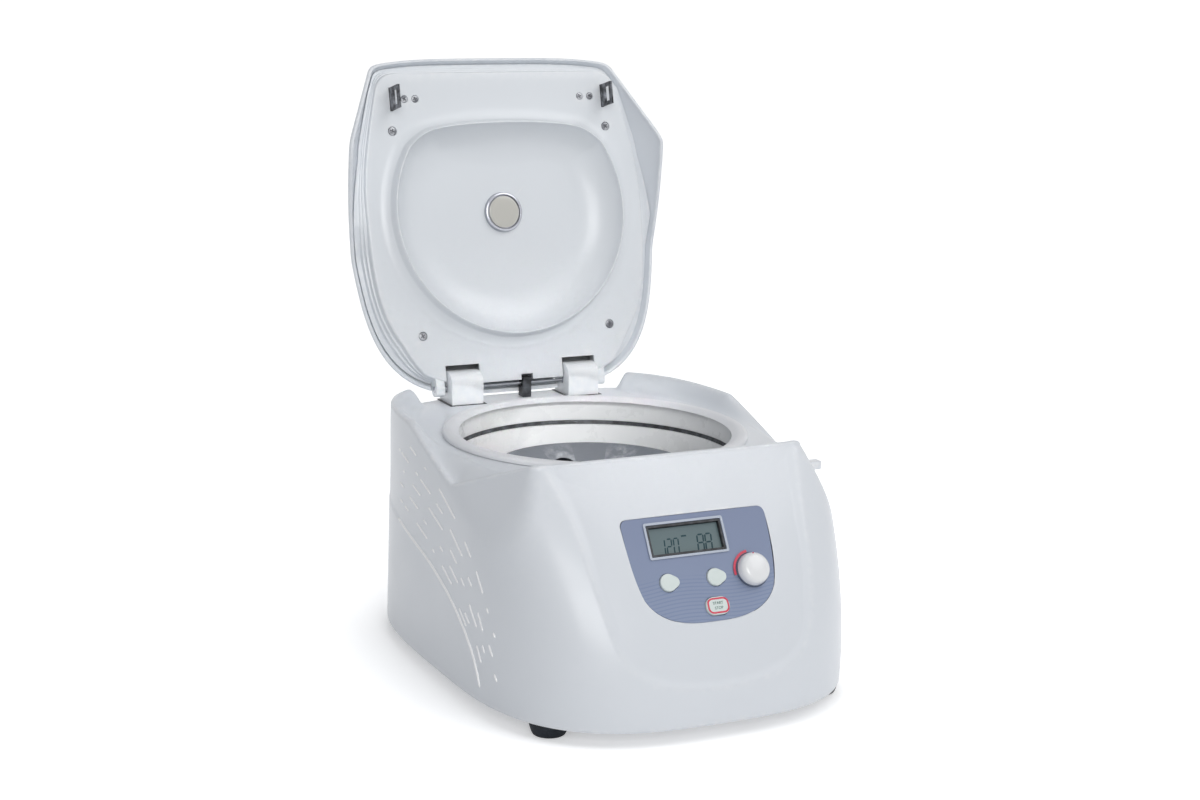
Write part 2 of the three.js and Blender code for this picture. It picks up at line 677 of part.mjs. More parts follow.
function rearFlange(fitting) {
  const halfWidth = fitting.width / 2 + FLANGE;
  const halfHeight = fitting.height / 2 + FLANGE;
  const face = REAR_Y + GAP;
  return block(
    [fitting.x - halfWidth, face, fitting.z - halfHeight],
    [fitting.x + halfWidth, face + FLANGE_THICKNESS, fitting.z + halfHeight],
  );
}

function rearBody(fitting) {
  return block(
    [fitting.x - fitting.width / 2, REAR_Y - fitting.depth, fitting.z - fitting.height / 2],
    [fitting.x + fitting.width / 2, REAR_Y + 1, fitting.z + fitting.height / 2],
  );
}

function makeInlet() {
  const socket = block(
    [INLET.x - 12, REAR_Y - INLET.depth + 3, INLET.z - 8],
    [INLET.x + 12, REACH, INLET.z + 8],
  );
  let inlet = rearBody(INLET).add(rearFlange(INLET)).subtract(socket);
  [[-7, -2], [7, -2], [0, 2.5]].forEach(([x, z]) => {
    const low = [INLET.x + x - 1, REAR_Y - INLET.depth + 2, INLET.z + z - 2];
    const high = [INLET.x + x + 1, REAR_Y - 3, INLET.z + z + 2];
    inlet = inlet.add(block(low, high));
  });
  return inlet;
}

const ROCKER_Y = REAR_Y - 3; // pivot of the rocker
const ROCKER_RADIUS = 12;

function makeSwitchFrame() {
  const window = block(
    [SWITCH.x - 7, REAR_Y - SWITCH.depth + 2, SWITCH.z - 10.5],
    [SWITCH.x + 7, REACH, SWITCH.z + 10.5],
  );
  return rearBody(SWITCH).add(rearFlange(SWITCH)).subtract(window);
}

// The rocker: a shallow vee across its pivot, on a short axle.
function makeRocker() {
  const half = 8.6;
  const outline = [
    [ROCKER_Y - 4, SWITCH.z - 4], [ROCKER_Y + 2, SWITCH.z - half], [ROCKER_Y + 7, SWITCH.z - half],
    [ROCKER_Y + 4.5, SWITCH.z], [ROCKER_Y + 5, SWITCH.z + half], [ROCKER_Y + 0.5, SWITCH.z + half],
    [ROCKER_Y - 4, SWITCH.z + 4],
  ];
  return acrossWidth(outline, SWITCH.x - 7 + SLIDE_GAP, SWITCH.x + 7 - SLIDE_GAP);
}

function makeFuseDrawer() {
  const grip = block(
    [FUSE.x - 4, REAR_Y, FUSE.z - 6],
    [FUSE.x + 4, REAR_Y + GAP + FLANGE_THICKNESS + 1.4, FUSE.z - 3],
  );
  return rearBody(FUSE).add(rearFlange(FUSE)).add(grip);
}

const POWER_BOARD = { x: 10, y: 112, z: FOOT_HEIGHT + PLATE + 8, width: 120, depth: 50 };

function makePowerBoard() {
  const { x, y, z, width, depth } = POWER_BOARD;
  let board = block([x - width / 2, y - depth / 2, z], [x + width / 2, y + depth / 2, z + 1.6]);
  [[-1, -1], [1, -1], [-1, 1], [1, 1]].forEach(([sideX, sideY]) => {
    const foot = [x + sideX * (width / 2 - 5), y + sideY * (depth / 2 - 5)];
    board = board.add(post(foot[0], foot[1], FOOT_HEIGHT + PLATE + GAP, z + 0.5, 2.5, 10));
  });
  [[-45, 8, 7, 7], [-28, 8, 7, 7], [-36, -12, 9, 6], [28, -8, 9, 6]].forEach(([u, v, radius, rise]) => {
    board = board.add(post(x + u, y + v, z + 1, z + 6 + 2 * rise - 4, radius, 14));
  });
  return board;
}

function makeTransformer() {
  const { x, y, z } = POWER_BOARD;
  const low = z + 1.6 + GAP;
  const core = block([x - 14, y - 12, low + 3], [x + 14, y + 12, low + 21]);
  return core.add(block([x - 9, y - 16, low], [x + 9, y + 16, low + 18]));
}

// ---------------------------------------------------------------- lid

// Radius of the lid's edge in one direction from the plan's middle.
function lidRadius(angle, inset) {
  let height = CREST_HEIGHT;
  let radius = 0;
  for (let i = 0; i < 30; i += 1) {
    radius = bodyRadius(angle, height, inset, LID_REAR_REACH);
    const target = edgeHeight(BODY_MIDDLE_Y + radius * Math.sin(angle));
    height += 0.5 * (target - height);
  }
  return radius;
}

function lidRing(inset, lift, scale, rise) {
  const ring = [];
  for (let i = 0; i < COLUMNS; i += 1) {
    const angle = (2 * Math.PI * i) / COLUMNS;
    const radius = lidRadius(angle, inset);
    const x = radius * Math.cos(angle);
    const y = BODY_MIDDLE_Y + radius * Math.sin(angle);
    const start = edgeHeight(y) + lift;
    const apex = LID_APEX - inset;
    const z = rise < 0 ? NOTCH[1] - 12 : start + (apex - start) * rise;
    ring.push(new THREE.Vector3(x * scale, LID_CENTRE_Y + (y - LID_CENTRE_Y) * scale, z));
  }
  return ring;
}

// The dome as a full solid, from below its edge up to the apex.
function domeSolid(inset) {
  const rings = [lidRing(inset, 0, 1, -1), lidRing(inset, 0, 1, 0)];
  const steps = 6;
  for (let i = 1; i <= steps; i += 1) {
    const phi = (Math.PI / 2) * (i / steps) * 0.97;
    rings.push(lidRing(inset, 0, Math.cos(phi), Math.sin(phi) ** (4 / 3)));
  }
  return loft(rings);
}

const LINER_SCREWS = [[-92.6, -65.8], [92.6, -65.8], [-81.4, 95.5], [81.4, 95.5]];
const SCREW_HEAD = 3.3;
const FLANGE_Z = LINER_Z + LINER_PLATE; // top of the liner plate

// Room that the hinge knuckles sweep inside the lid.
function knuckleRoom(side) {
  const half = KNUCKLE.width / 2 + 1.2;
  const left = side * KNUCKLE.x - half;
  const right = side * KNUCKLE.x + half;
  const sweep = roundBar(left, right, PIN.y, PIN.z, 18.6, 28);
  return sweep.add(block([left, PIN.y - 17, 0], [right, REACH, PIN.z]));
}

// Parts of the lid behind its pin stay clear of the deck as it opens.
function deckRoom() {
  return acrossWidth([
    [PIN.y + 7.6, 0], [REACH, 0], [REACH, PIN.z + 46], [PIN.y + 4.5, PIN.z + 26],
    [PIN.y + 6.2, PIN.z + 15], [PIN.y + 7.6, PIN.z + 9],
  ]);
}

function makeLidShell() {
  const dome = domeSolid(LID_GAP);
  let shell = dome.subtract(domeSolid(LID_GAP + LID_WALL)).subtract(belowEdge(LID_GAP));
  LINER_SCREWS.forEach(([x, y]) => {
    const boss = post(x, y, FLANGE_Z + GAP, LID_APEX, 4.5, 16).intersect(dome);
    shell = shell.add(boss).subtract(post(x, y, 0, FLANGE_Z + 10, SCREW_SHANK + GAP, 12));
  });
  shell = shell.subtract(post(0, 0, LID_APEX - 40, REACH, SIGHT_RADIUS + GAP, 32));
  shell = shell.subtract(deckRoom());
  shell = shell.subtract(block([-PIN.half - 1, PIN.y - 7, 0], [PIN.half + 1, REACH, PIN.z + 7]));
  return shell.subtract(knuckleRoom(-1)).subtract(knuckleRoom(1));
}

// The recess over the rotor: a circle with its front cut straight.
function dishOutline(margin) {
  const radius = DISH_RADIUS + margin;
  const front = DISH_FRONT_Y - margin;
  const corner = 16;
  const halfFront = Math.sqrt(radius ** 2 - front ** 2);
  const shape = new THREE.Shape();
  const start = Math.asin((front + corner) / radius);
  shape.moveTo(-halfFront + corner, front);
  shape.lineTo(halfFront - corner, front);
  shape.quadraticCurveTo(
    halfFront, front, radius * Math.cos(start), radius * Math.sin(start),
  );
  shape.absarc(0, 0, radius, start, Math.PI - start, false);
  shape.quadraticCurveTo(-halfFront, front, -halfFront + corner, front);
  return shape.getPoints(8).map((point) => [point.x, point.y]).slice(0, -1);
}

function makeLidLiner() {
  const inside = domeSolid(LID_GAP + LID_WALL + GAP);
  const top = LINER_Z + DISH_DEPTH + 2;
  const band = block([-REACH, -REACH, FLANGE_Z], [REACH, REACH, FLANGE_Z + 2]);
  let liner = prism(linerOutline(0), LINER_Z, FLANGE_Z + 1).add(band);
  liner = liner.add(prism(dishOutline(2), LINER_Z - DISH_RIM, top));
  liner = liner.subtract(prism(dishOutline(0), 0, top - 2));
  liner = liner.subtract(post(0, 0, 0, REACH, SIGHT_RADIUS + GAP, 32));
  liner = liner.intersect(inside).subtract(belowEdge(LID_GAP + 3).subtract(
    prism(linerOutline(0.01), 0, REACH)));
  LINER_SCREWS.forEach(([x, y]) => {
    liner = liner.subtract(post(x, y, 0, REACH, SCREW_SHANK + GAP, 12));
    liner = liner.subtract(post(x, y, 0, LINER_Z + 1.4, SCREW_HEAD + GAP, 16));
    liner = liner.subtract(post(x, y, FLANGE_Z, REACH, 4.5 + GAP, 16));
  });
  [-1, 1].forEach((side) => {
    const gapX = STRIKER.thickness / 2 + GAP;
    liner = liner.subtract(block(
      [side * STRIKER.x - gapX, STRIKER.y - STRIKER.length / 2 - GAP, 0],
      [side * STRIKER.x + gapX, STRIKER.y + STRIKER.length / 2 + GAP, REACH],
    ));
    liner = liner.subtract(strikerFlange(side, GAP));
    strikerScrewPlaces(side).forEach(([x, y]) => {
      liner = liner.subtract(post(x, y, 0, REACH, SCREW_SHANK + GAP, 12));
      liner = liner.subtract(post(x, y, 0, LINER_Z + 1.4, SCREW_HEAD + GAP - 0.5, 16));
    });
  });
  liner = liner.subtract(knuckleRoom(-1)).subtract(knuckleRoom(1));
  liner = liner.subtract(block([-37, PIN.y - 9, 0], [37, REACH, REACH]));
  [-1, 1].forEach((side) => {
    const lug = roundBar(side * 70 - 3.5, side * 70 + 3.5, PIN.y, PIN.z, 6, 24);
    const arm = block(
      [side * 70 - 3.5, PIN.y - 24, LINER_Z + 1],
      [side * 70 + 3.5, PIN.y, PIN.z + 4],
    );
    liner = liner.add(lug).add(arm);
  });
  return liner.subtract(roundBar(-REACH, REACH, PIN.y, PIN.z, PIN.radius + SLIDE_GAP, 24));
}

function strikerFlange(side, margin) {
  const seat = FLANGE_Z - 0.9 + GAP;
  const inner = STRIKER.x - 26;
  const ends = [side * inner - side * margin, side * (STRIKER.x + 1 + margin)].sort((a, b) => a - b);
  return block(
    [ends[0], STRIKER.y - 8 - margin, seat - margin],
    [ends[1], STRIKER.y + 8 + margin, seat + 1.8 + 30 * Math.sign(margin)],
  );
}

function strikerScrewPlaces(side) {
  return [[side * 80.5, STRIKER.y], [side * 71.5, STRIKER.y]];
}

function makeStriker(side) {
  const half = STRIKER.thickness / 2;
  const x = side * STRIKER.x;
  let plate = block(
    [x - half, STRIKER.y - STRIKER.length / 2, LINER_Z - STRIKER.drop],
    [x + half, STRIKER.y + STRIKER.length / 2, FLANGE_Z + 1],
  );
  plate = plate.subtract(block(
    [x - 9, STRIKER.y - STRIKER.length / 2 + STRIKER_FRAME, LINER_Z - STRIKER.drop + 3],
    [x + 9, STRIKER.y + STRIKER.length / 2 - STRIKER_FRAME, LINER_Z - 7],
  ));
  plate = plate.add(strikerFlange(side, 0));
  strikerScrewPlaces(side).forEach(([u, v]) => {
    plate = plate.subtract(post(u, v, 0, REACH, SCREW_SHANK + GAP, 12));
  });
  return plate;
}

// A countersunk screw driven upward through the liner.
function makeLinerScrew(x, y, head, length) {
  const face = LINER_Z + 0.2;
  return turned([
    [0, face], [head - 0.5, face], [head - 0.2, face + 0.9], [SCREW_SHANK, face + 0.9],
    [SCREW_SHANK, face + length], [0, face + length + 1],
  ], 12, x, y);
}

const SIGHT_LOW = LINER_Z + DISH_DEPTH - 0.6;

function makeSightTube() {
  const low = LINER_Z + DISH_DEPTH + 2 + GAP;
  const top = LID_APEX - LID_WALL - 5;
  return turned([
    [SIGHT_RADIUS + GAP, low], [SIGHT_RADIUS + 3, low], [SIGHT_RADIUS + 3, top],
    [SIGHT_RADIUS + GAP, top], [SIGHT_RADIUS + GAP, low],
  ], 20);
}

function makeSightRing() {
  return turned([
    [SIGHT_RADIUS - 2, SIGHT_LOW - 1.2], [SIGHT_RADIUS + 2.2, SIGHT_LOW - 1.2],
    [SIGHT_RADIUS + 2.2, SIGHT_LOW + 0.3], [SIGHT_RADIUS, SIGHT_LOW + 0.3],
    [SIGHT_RADIUS, SIGHT_LOW + 3.2], [SIGHT_RADIUS - 2, SIGHT_LOW + 3.2],
    [SIGHT_RADIUS - 2, SIGHT_LOW - 1.2],
  ], 20);
}

function makeSightGlass() {
  const radius = SIGHT_RADIUS - GAP;
  return post(0, 0, SIGHT_LOW + 3.5, LID_APEX - 1.5, radius, 32);
}

// ---------------------------------------------------------------- hinge and latch

function makeKnuckle(side) {
  const left = side * KNUCKLE.x - KNUCKLE.width / 2;
  const right = side * KNUCKLE.x + KNUCKLE.width / 2;
  const foot = block(
    [left, PIN.y - KNUCKLE.radius + 1, DECK_Z + GAP],
    [right, PIN.y + KNUCKLE.radius - 1, PIN.z],
  );
  return roundBar(left, right, PIN.y, PIN.z, KNUCKLE.radius, 28).intersect(
    block([-REACH, -REACH, DECK_Z + GAP], [REACH, REACH, REACH]),
  ).add(foot).subtract(roundBar(-REACH, REACH, PIN.y, PIN.z, PIN.radius + GAP, 24));
}

function makeRodClip() {
  const clip = block([1, PIN.y - 4.5, DECK_Z + GAP], [8, PIN.y + 4.5, PIN.z + 5]);
  return clip.subtract(roundBar(-REACH, REACH, PIN.y, PIN.z, PIN.radius + GAP, 24));
}

function makeLatchBar() {
  const halfDepth = BAR.depth / 2;
  const halfHeight = BAR.height / 2;
  let bar = block(
    [BAR.left, BAR.y - halfDepth, BAR.z - halfHeight],
    [BAR.right, BAR.y + halfDepth, BAR.z + halfHeight],
  );
  [-1, 1].forEach((side) => {
    const arm = side * STRIKER.x + STRIKER.thickness / 2 + LATCH_TRAVEL + 0.7;
    const reach = STRIKER.y + HOOK_HALF;
    bar = bar.add(block([arm, BAR.y, BAR.z - 2], [arm + 4, reach, BAR.z + 2]));
    bar = bar.add(block([arm - 4.3, STRIKER.y - HOOK_HALF, BAR.z - 2], [arm + 1, reach, BAR.z + 2]));
  });
  return bar;
}

function makeLatchGuide(x) {
  const halfDepth = BAR.depth / 2;
  const halfHeight = BAR.height / 2;
  const low = [x - 6, BAR.y - halfDepth - 3, BAR.z - halfHeight - 3];
  const guide = block(low, [x + 6, BAR.y + halfDepth + 3, DECK_Z - WALL - GAP]);
  return guide.subtract(block(
    [-REACH, BAR.y - halfDepth - SLIDE_GAP, BAR.z - halfHeight - SLIDE_GAP],
    [REACH, BAR.y + halfDepth + SLIDE_GAP, BAR.z + halfHeight + SLIDE_GAP],
  ));
}

// ---------------------------------------------------------------- assembly

const centrifuge = new THREE.Group();
const lid = new THREE.Group(); // turns about the hinge pin
lid.position.set(0, PIN.y, PIN.z);
lid.rotation.x = degrees(-LID_OPEN);
centrifuge.add(lid);

function materialFor(finish) {
  const [color, roughness, metalness] = COLOURS[finish];
  return new THREE.MeshStandardMaterial({ color, roughness, metalness });
}

function place(parent, name, body, finish) {
  const mesh = new THREE.Mesh(geometryOf(body), materialFor(finish));
  mesh.name = name;
  parent.add(mesh);
}

// A lid piece is drawn shut and hung from the pin.
function placeOnLid(name, body, finish) {
  place(lid, name, body.translate([0, -PIN.y, -PIN.z]), finish);
}

place(centrifuge, "housing", makeHousing(), "housing");
place(centrifuge, "base_plate", makeBasePlate(), "aluminium");
FEET.forEach(([name, x, y]) => place(centrifuge, name, makeFoot(x, y), "dark"));
PILLARS.forEach(([x, y], i) => place(centrifuge, `base_screw_${i + 1}`, makeBaseScrew(x, y), "steel"));
place(centrifuge, "bowl", makeBowl(), "aluminium");
place(centrifuge, "bowl_seal", makeSeal(), "seal");
place(centrifuge, "rotor", makeRotor(), "aluminium");
place(centrifuge, "rotor_nut", makeRotorNut(), "dark");
place(centrifuge, "motor_shaft", makeShaft(), "steel");
place(centrifuge, "motor_body", makeMotor(), "dark");
place(centrifuge, "motor_plate", makeMotorPlate(), "steel");
DAMPERS.forEach((angle, i) => place(centrifuge, `motor_damper_${i + 1}`, makeDamper(angle), "dark"));
place(centrifuge, "control_overlay", onPanel(makeOverlay()), "overlay");
place(centrifuge, "lcd_bezel", onPanel(makeLcdBezel()), "dark");
place(centrifuge, "lcd_panel", onPanel(makeLcdPanel()), "glass");
place(centrifuge, "control_board", onPanel(makeControlBoard()), "board");
place(centrifuge, "knob_encoder", onPanel(makeEncoder()), "dark");
place(centrifuge, "speed_knob", onPanel(makeKnob()), "housing");
KEYS.forEach((key) => {
  place(centrifuge, key.name, onPanel(makeKey(key)), "keys");
  place(centrifuge, `${key.name}_switch`, onPanel(makeKeySwitches(key)), "dark");
});
place(centrifuge, "power_inlet", makeInlet(), "dark");
place(centrifuge, "switch_frame", makeSwitchFrame(), "dark");
place(centrifuge, "power_rocker", makeRocker(), "dark");
place(centrifuge, "fuse_drawer", makeFuseDrawer(), "dark");
place(centrifuge, "power_board", makePowerBoard(), "board");
place(centrifuge, "power_transformer", makeTransformer(), "steel");
place(centrifuge, "hinge_knuckle_left", makeKnuckle(-1), "housing");
place(centrifuge, "hinge_knuckle_right", makeKnuckle(1), "housing");
place(centrifuge, "hinge_pin", roundBar(-PIN.half, PIN.half, PIN.y, PIN.z, PIN.radius, 16), "steel");
place(centrifuge, "lid_sensor_clip", makeRodClip(), "dark");
place(centrifuge, "latch_bar", makeLatchBar(), "housing");
place(centrifuge, "latch_guide_left", makeLatchGuide(-52), "dark");
place(centrifuge, "latch_guide_right", makeLatchGuide(64), "dark");
placeOnLid("lid_shell", makeLidShell(), "housing");
placeOnLid("lid_liner", makeLidLiner(), "liner");
placeOnLid("sight_tube", makeSightTube(), "dark");
placeOnLid("sight_ring", makeSightRing(), "steel");
placeOnLid("sight_glass", makeSightGlass(), "glass");
[-1, 1].forEach((side) => {
  const hand = side < 0 ? "left" : "right";
  placeOnLid(`lid_striker_${hand}`, makeStriker(side), "steel");
  strikerScrewPlaces(side).forEach(([x, y], i) => {
    placeOnLid(`striker_screw_${hand}_${i + 1}`, makeLinerScrew(x, y, SCREW_HEAD - 0.5, 5), "steel");
  });
});
LINER_SCREWS.forEach(([x, y], i) => {
  placeOnLid(`liner_screw_${i + 1}`, makeLinerScrew(x, y, SCREW_HEAD, 9), "steel");
});

// The origin is under the middle of the whole object, on the surface that it stands on.
centrifuge.updateMatrixWorld(true);
const extent = new THREE.Box3().setFromObject(centrifuge, true);
const middle = extent.getCenter(new THREE.Vector3());
centrifuge.position.set(-middle.x, -middle.y, -extent.min.z);
centrifuge.updateMatrixWorld(true);

export default centrifuge;
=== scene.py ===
"""Bench-top laboratory centrifuge with an open lid, dressed for rendering around its CAD frame.

Sizes in this file are millimetres from the rotor's axis, with z up from the table top, unless a
name ends in _M. Every mesh is put into the CAD frame, in metres, when it is made."""

import json
import math

import bpy
import numpy as np
from bpy.props import FloatProperty, FloatVectorProperty, IntProperty, PointerProperty
from mathutils import Matrix, Vector

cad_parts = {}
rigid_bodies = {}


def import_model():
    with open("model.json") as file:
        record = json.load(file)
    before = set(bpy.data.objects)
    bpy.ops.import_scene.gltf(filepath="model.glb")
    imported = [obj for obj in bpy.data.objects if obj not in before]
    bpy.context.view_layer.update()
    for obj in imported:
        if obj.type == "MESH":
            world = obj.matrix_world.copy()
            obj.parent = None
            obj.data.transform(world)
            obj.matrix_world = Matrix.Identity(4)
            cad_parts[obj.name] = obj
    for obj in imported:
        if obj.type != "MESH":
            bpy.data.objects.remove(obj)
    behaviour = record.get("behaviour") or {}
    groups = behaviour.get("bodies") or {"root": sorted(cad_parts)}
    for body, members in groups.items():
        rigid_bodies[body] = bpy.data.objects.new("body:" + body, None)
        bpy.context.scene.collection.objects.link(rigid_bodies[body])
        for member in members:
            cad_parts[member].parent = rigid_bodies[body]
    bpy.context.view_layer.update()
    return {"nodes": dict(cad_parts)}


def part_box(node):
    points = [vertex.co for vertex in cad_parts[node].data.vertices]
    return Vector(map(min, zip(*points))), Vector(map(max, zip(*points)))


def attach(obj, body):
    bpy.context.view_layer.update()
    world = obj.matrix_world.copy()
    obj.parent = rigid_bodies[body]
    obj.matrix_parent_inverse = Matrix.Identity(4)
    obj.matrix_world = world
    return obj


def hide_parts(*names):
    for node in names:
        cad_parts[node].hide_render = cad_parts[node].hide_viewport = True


bl_info = {
    "name": "Laboratory Centrifuge",
    "version": (1, 0, 0),
    "blender": (4, 5, 0),
    "location": "View3D > Sidebar > Centrifuge",
    "description": "Builds the visible pieces of a bench-top centrifuge around its CAD frame",
    "category": "Object",
}

for leftover in list(bpy.data.objects):
    bpy.data.objects.remove(leftover)
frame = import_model()

MM = 0.001
TAU = 2 * math.pi


def middle_of(node):
    """Centre of a CAD node's box, in metres."""
    low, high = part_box(node)
    return (low + high) / 2


SPINDLE_M = middle_of("bowl")
SIDES = ((-1, "left"), (1, "right"))

# ---- Housing ----
HALF_WIDTH = 140.0
MIDDLE_Y = -50.0
FRONT_REACH = 159.0
REAR_REACH = 205.0
FOOT_HEIGHT = 9.5
CREST_HEIGHT = 180.0
FRONT_LEAN = 84.5
FRONT_CURVE = 1.9
SIDE_LEAN = 3.0
REAR_SQUARENESS = 3.8
FRONT_SQUARENESS = 2.9
CREST_SQUARENESS = 1.1
WALL = 3.0
CREST_Y = -124.0
NOTCH = (-50.0, 151.0)
SHOULDER = (33.0, 179.0)
FACET_X, FACET_Y, FACET_Z = 0.846, 0.218, 0.487
FACET_DISTANCE = 201.2
FACET_BLEND = 6.0
REAR_Y = MIDDLE_Y + REAR_REACH
DECK_Z = 165.5
DECK_MARGIN = 3.0
HINGE_RUN_X, HINGE_RUN_Y = (97, 89), (58, 66)
GAP = 0.3
SLIDE_GAP = 0.35

# ---- Bowl, seal and rotor ----
BOWL_RADIUS = 106.0
BOWL_WALL = 1.2
BOWL_FLOOR_Z = 79.0
BOWL_FLANGE = 110.0
SLIT_Z = 150.0
SEAL_OUTER = 113.8
SEAL_INNER = 101.5
SEAL_TOP = 170.6
SEAL_LIP = 167.6
ROTOR_TOP = 141.0
ROTOR_BASE = 84.0
ROTOR_RIM = 78.0
ROTOR_SKIRT = 92.0
HUB_TOP = ROTOR_TOP - 22
HUB_RADIUS = 30.0
NUT_RADIUS = 13.0
TUBE_TILT = 33.0
TUBE_CIRCLE = 50.0
TUBE_RADIUS = 8.75
SHAFT_RADIUS = 6.0

# ---- Lid ----
LINER_Z = 171.2
LINER_HALF = 119.5
LINER_FRONT_Y = -111.5
DISH_RADIUS = 97.0
DISH_FRONT_Y = -66.0
DISH_DEPTH = 11.0
DISH_RIM = 9.0
LID_APEX = 240.0
LID_WALL = 3.0
LID_GAP = 0.8
LID_REAR_REACH = 195.5
LID_CENTRE_Y = 10.0
LID_OPEN = 103.67
LID_TUCK = 0.03
PIN_Y, PIN_Z = 137.7, 176.7
PIN_HALF = 74.0
PIN_RADIUS = 2.5
LUG_X, LUG_HALF = 70.0, 3.5
KNUCKLE_X, KNUCKLE_WIDTH, KNUCKLE_REACH = 50.4, 26.5, 13.0
# Reach of the painted shadow round each hinge block's foot, from the pin.
FOOT_SHADOW_REACH = 15.5
KNUCKLE_ROOM = 18.6
THIN_PIN_HALF, THIN_PIN_RADIUS = 36.6, 1.3
SIGHT_RADIUS = 11.0
STRIKER_X, STRIKER_Y, STRIKER_LENGTH, STRIKER_THICKNESS = 91.6, -90.7, 18.0, 2.0
LINER_SCREWS = ((-92.6, -65.8), (92.6, -65.8), (-81.4, 95.5), (81.4, 95.5))
STRIKER_SCREWS = (80.5, 71.5)
DISH_SWEEP = 34.0
DISH_ROUND = 0.955
FLANK = (1.6, 4.2)
SHOULDER_DROP = 3.4
SHOULDER_WIDTH = 9.8
LAND_ROUND = 1.8
# The stepped band between the liner's land and the lid: shares of its width and of its height.
BAND_STEPS = (
    (0.02, 0.2), (0.10, 0.30), (0.24, 0.33), (0.28, 0.5), (0.34, 0.6), (0.5, 0.64),
    (0.54, 0.8), (0.6, 0.9), (0.78, 0.94), (1, 1),
)

# ---- Latch bar: its middle line, section and right end ----
BAR_Y, BAR_Z, BAR_DEPTH, BAR_HEIGHT, BAR_RIGHT = -116.0, 158.0, 7.0, 6.0, 124.0

# ---- Control panel: x to the right, "up" along its face, "out" of its face ----
PANEL_TILT = math.radians(31)
PANEL_Y, PANEL_Z = -180.0, 100.0
LCD_X, LCD_UP, LCD_WIDTH, LCD_HEIGHT = -9.0, 34.0, 58.0, 22.5
KNOB_X, KNOB_UP, KNOB_RADIUS, KNOB_HEIGHT = 35.5, 6.2, 11.6, 9.0
KEY_PROUD = 1.2
OVERLAY_THICKNESS = 1.6
LCD_FACE = -2.8
BOARD_GAP = 12.7

# ---- Rear fittings: x, width and height of each, on the rear wall ----
FITTING_Z = 42.0
FITTINGS = ((-62.0, 28.0, 21.0), (-22.0, 20.0, 25.0), (14.0, 16.0, 20.0))

# ---------------------------------------------------------------- numbers and outlines


def smoothstep(low, high, value):
    """0 below low, 1 above high, with an easy start and end between."""
    share = np.clip((value - low) / (high - low), 0, 1)
    return share * share * (3 - 2 * share)


def path(start, *legs, steps=14):
    """Points along straight legs (end,), quadratic legs (control, end) and cubic legs."""
    points = [np.array(start, float)]
    for leg in legs:
        controls = [points[-1], *(np.array(point, float) for point in leg)]
        degree = len(controls) - 1
        for share in np.arange(1, steps + 1) / steps:
            weights = [
                math.comb(degree, i) * share**i * (1 - share) ** (degree - i)
                for i in range(degree + 1)
            ]
            points.append(sum(w * c for w, c in zip(weights, controls)))
    return np.array(points)


def mirrored(half):
    """A whole closed outline from its right half, which starts and ends on the middle line."""
    left = half[::-1][1:-1] * (-1, 1)
    return np.concatenate([half, left])


def liner_outline(margin):
    """Plan of the lid liner, grown outward, from the front round the right side."""
    half, front, rear = LINER_HALF + margin, LINER_FRONT_Y - margin, PIN_Y + margin
    return mirrored(path(
        (0, front),
        ((half - 34, front),),
        ((half - 19, front), (half - 15, front + 14)),
        ((half, -40), (half, -15)),
        ((half, 52), (half - 4, 78), (half - 22, 103)),
        ((half - 34, rear - 11), (half - 52, rear)),
        ((0, rear),),
    ))


def overlay_outline(margin, steps=14):
    """Face of the control overlay: nearly straight on top, with a wide round bottom."""
    half, top, low = 56 + margin, 51 + margin, -25.5 - margin
    return mirrored(path(
        (0, low),
        ((6, low),),
        ((half - 16, low), (half - 6, -6)),
        ((half, 10), (half, top - 6)),
        ((half, top), (half - 6, top)),
        ((0, top),),
        steps=steps,
    ))


def scoop_outline():
    """Rim of the shallow scoop that the overlay lies in."""
    return mirrored(path(
        (0, -33),
        ((36, -33), (56, -14)),
        ((67, 4), (67, 30)),
        ((68, 54), (60, 62)),
        ((56, 67), (40, 67)),
        ((0, 68),),
    ))


def shield_outline():
    """The raised U round the whole front, open over the crest."""
    return mirrored(path(
        (0, -71),
        ((46, -71), (64, -55)),
        ((76, -44), (80, -20)),
        ((86, 6), (88, 34)),
        ((91, 62), (100, 96)),
        ((104, 110), (108, 150)),
        ((0, 150),),
    ))


def dish_outline(margin):
    """The liner's round recess with its front cut straight and its corners rounded."""
    radius, front, corner = DISH_RADIUS + margin, DISH_FRONT_Y - margin, 15.0
    half_front = math.sqrt(radius**2 - front**2)
    start = math.asin((front + corner) / radius)
    arc = [
        (radius * math.cos(turn), radius * math.sin(turn))
        for turn in np.linspace(start, math.pi / 2, 60)
    ]
    head = path(
        (0, front - 3),
        ((half_front * 0.55, front - 3), (half_front - corner * 0.8, front + 1)),
        ((half_front, front + 3), arc[0]),
    )
    return mirrored(np.concatenate([head, arc[1:]]))


def by_direction(x, y, angles, *values):
    """Distance of points round the rotor's axis, then other values of theirs, at given angles."""
    around = np.arctan2(y, x)
    order = np.argsort(around)
    return [
        np.interp(angles, around[order], value[order], period=TAU)
        for value in (np.hypot(x, y), *values)
    ]


def polar(outline, angles):
    """Distance of a closed outline from the rotor's axis in each direction."""
    closed = np.concatenate([outline, outline[:1]])
    dense = np.concatenate([
        closed[i] + (closed[i + 1] - closed[i]) * np.linspace(0, 1, 9)[:-1, None]
        for i in range(len(outline))
    ])
    return by_direction(dense[:, 0], dense[:, 1], angles)[0]


def line_distance(points, line):
    """Distance of each 2-D point from a polyline."""
    best = np.full(len(points), 1e9)
    for start, end in zip(line[:-1], line[1:]):
        along = end - start
        share = np.clip((points - start) @ along / max(along @ along, 1e-12), 0, 1)
        away = points - start - share[:, None] * along
        best = np.minimum(best, np.hypot(away[:, 0], away[:, 1]))
    return best


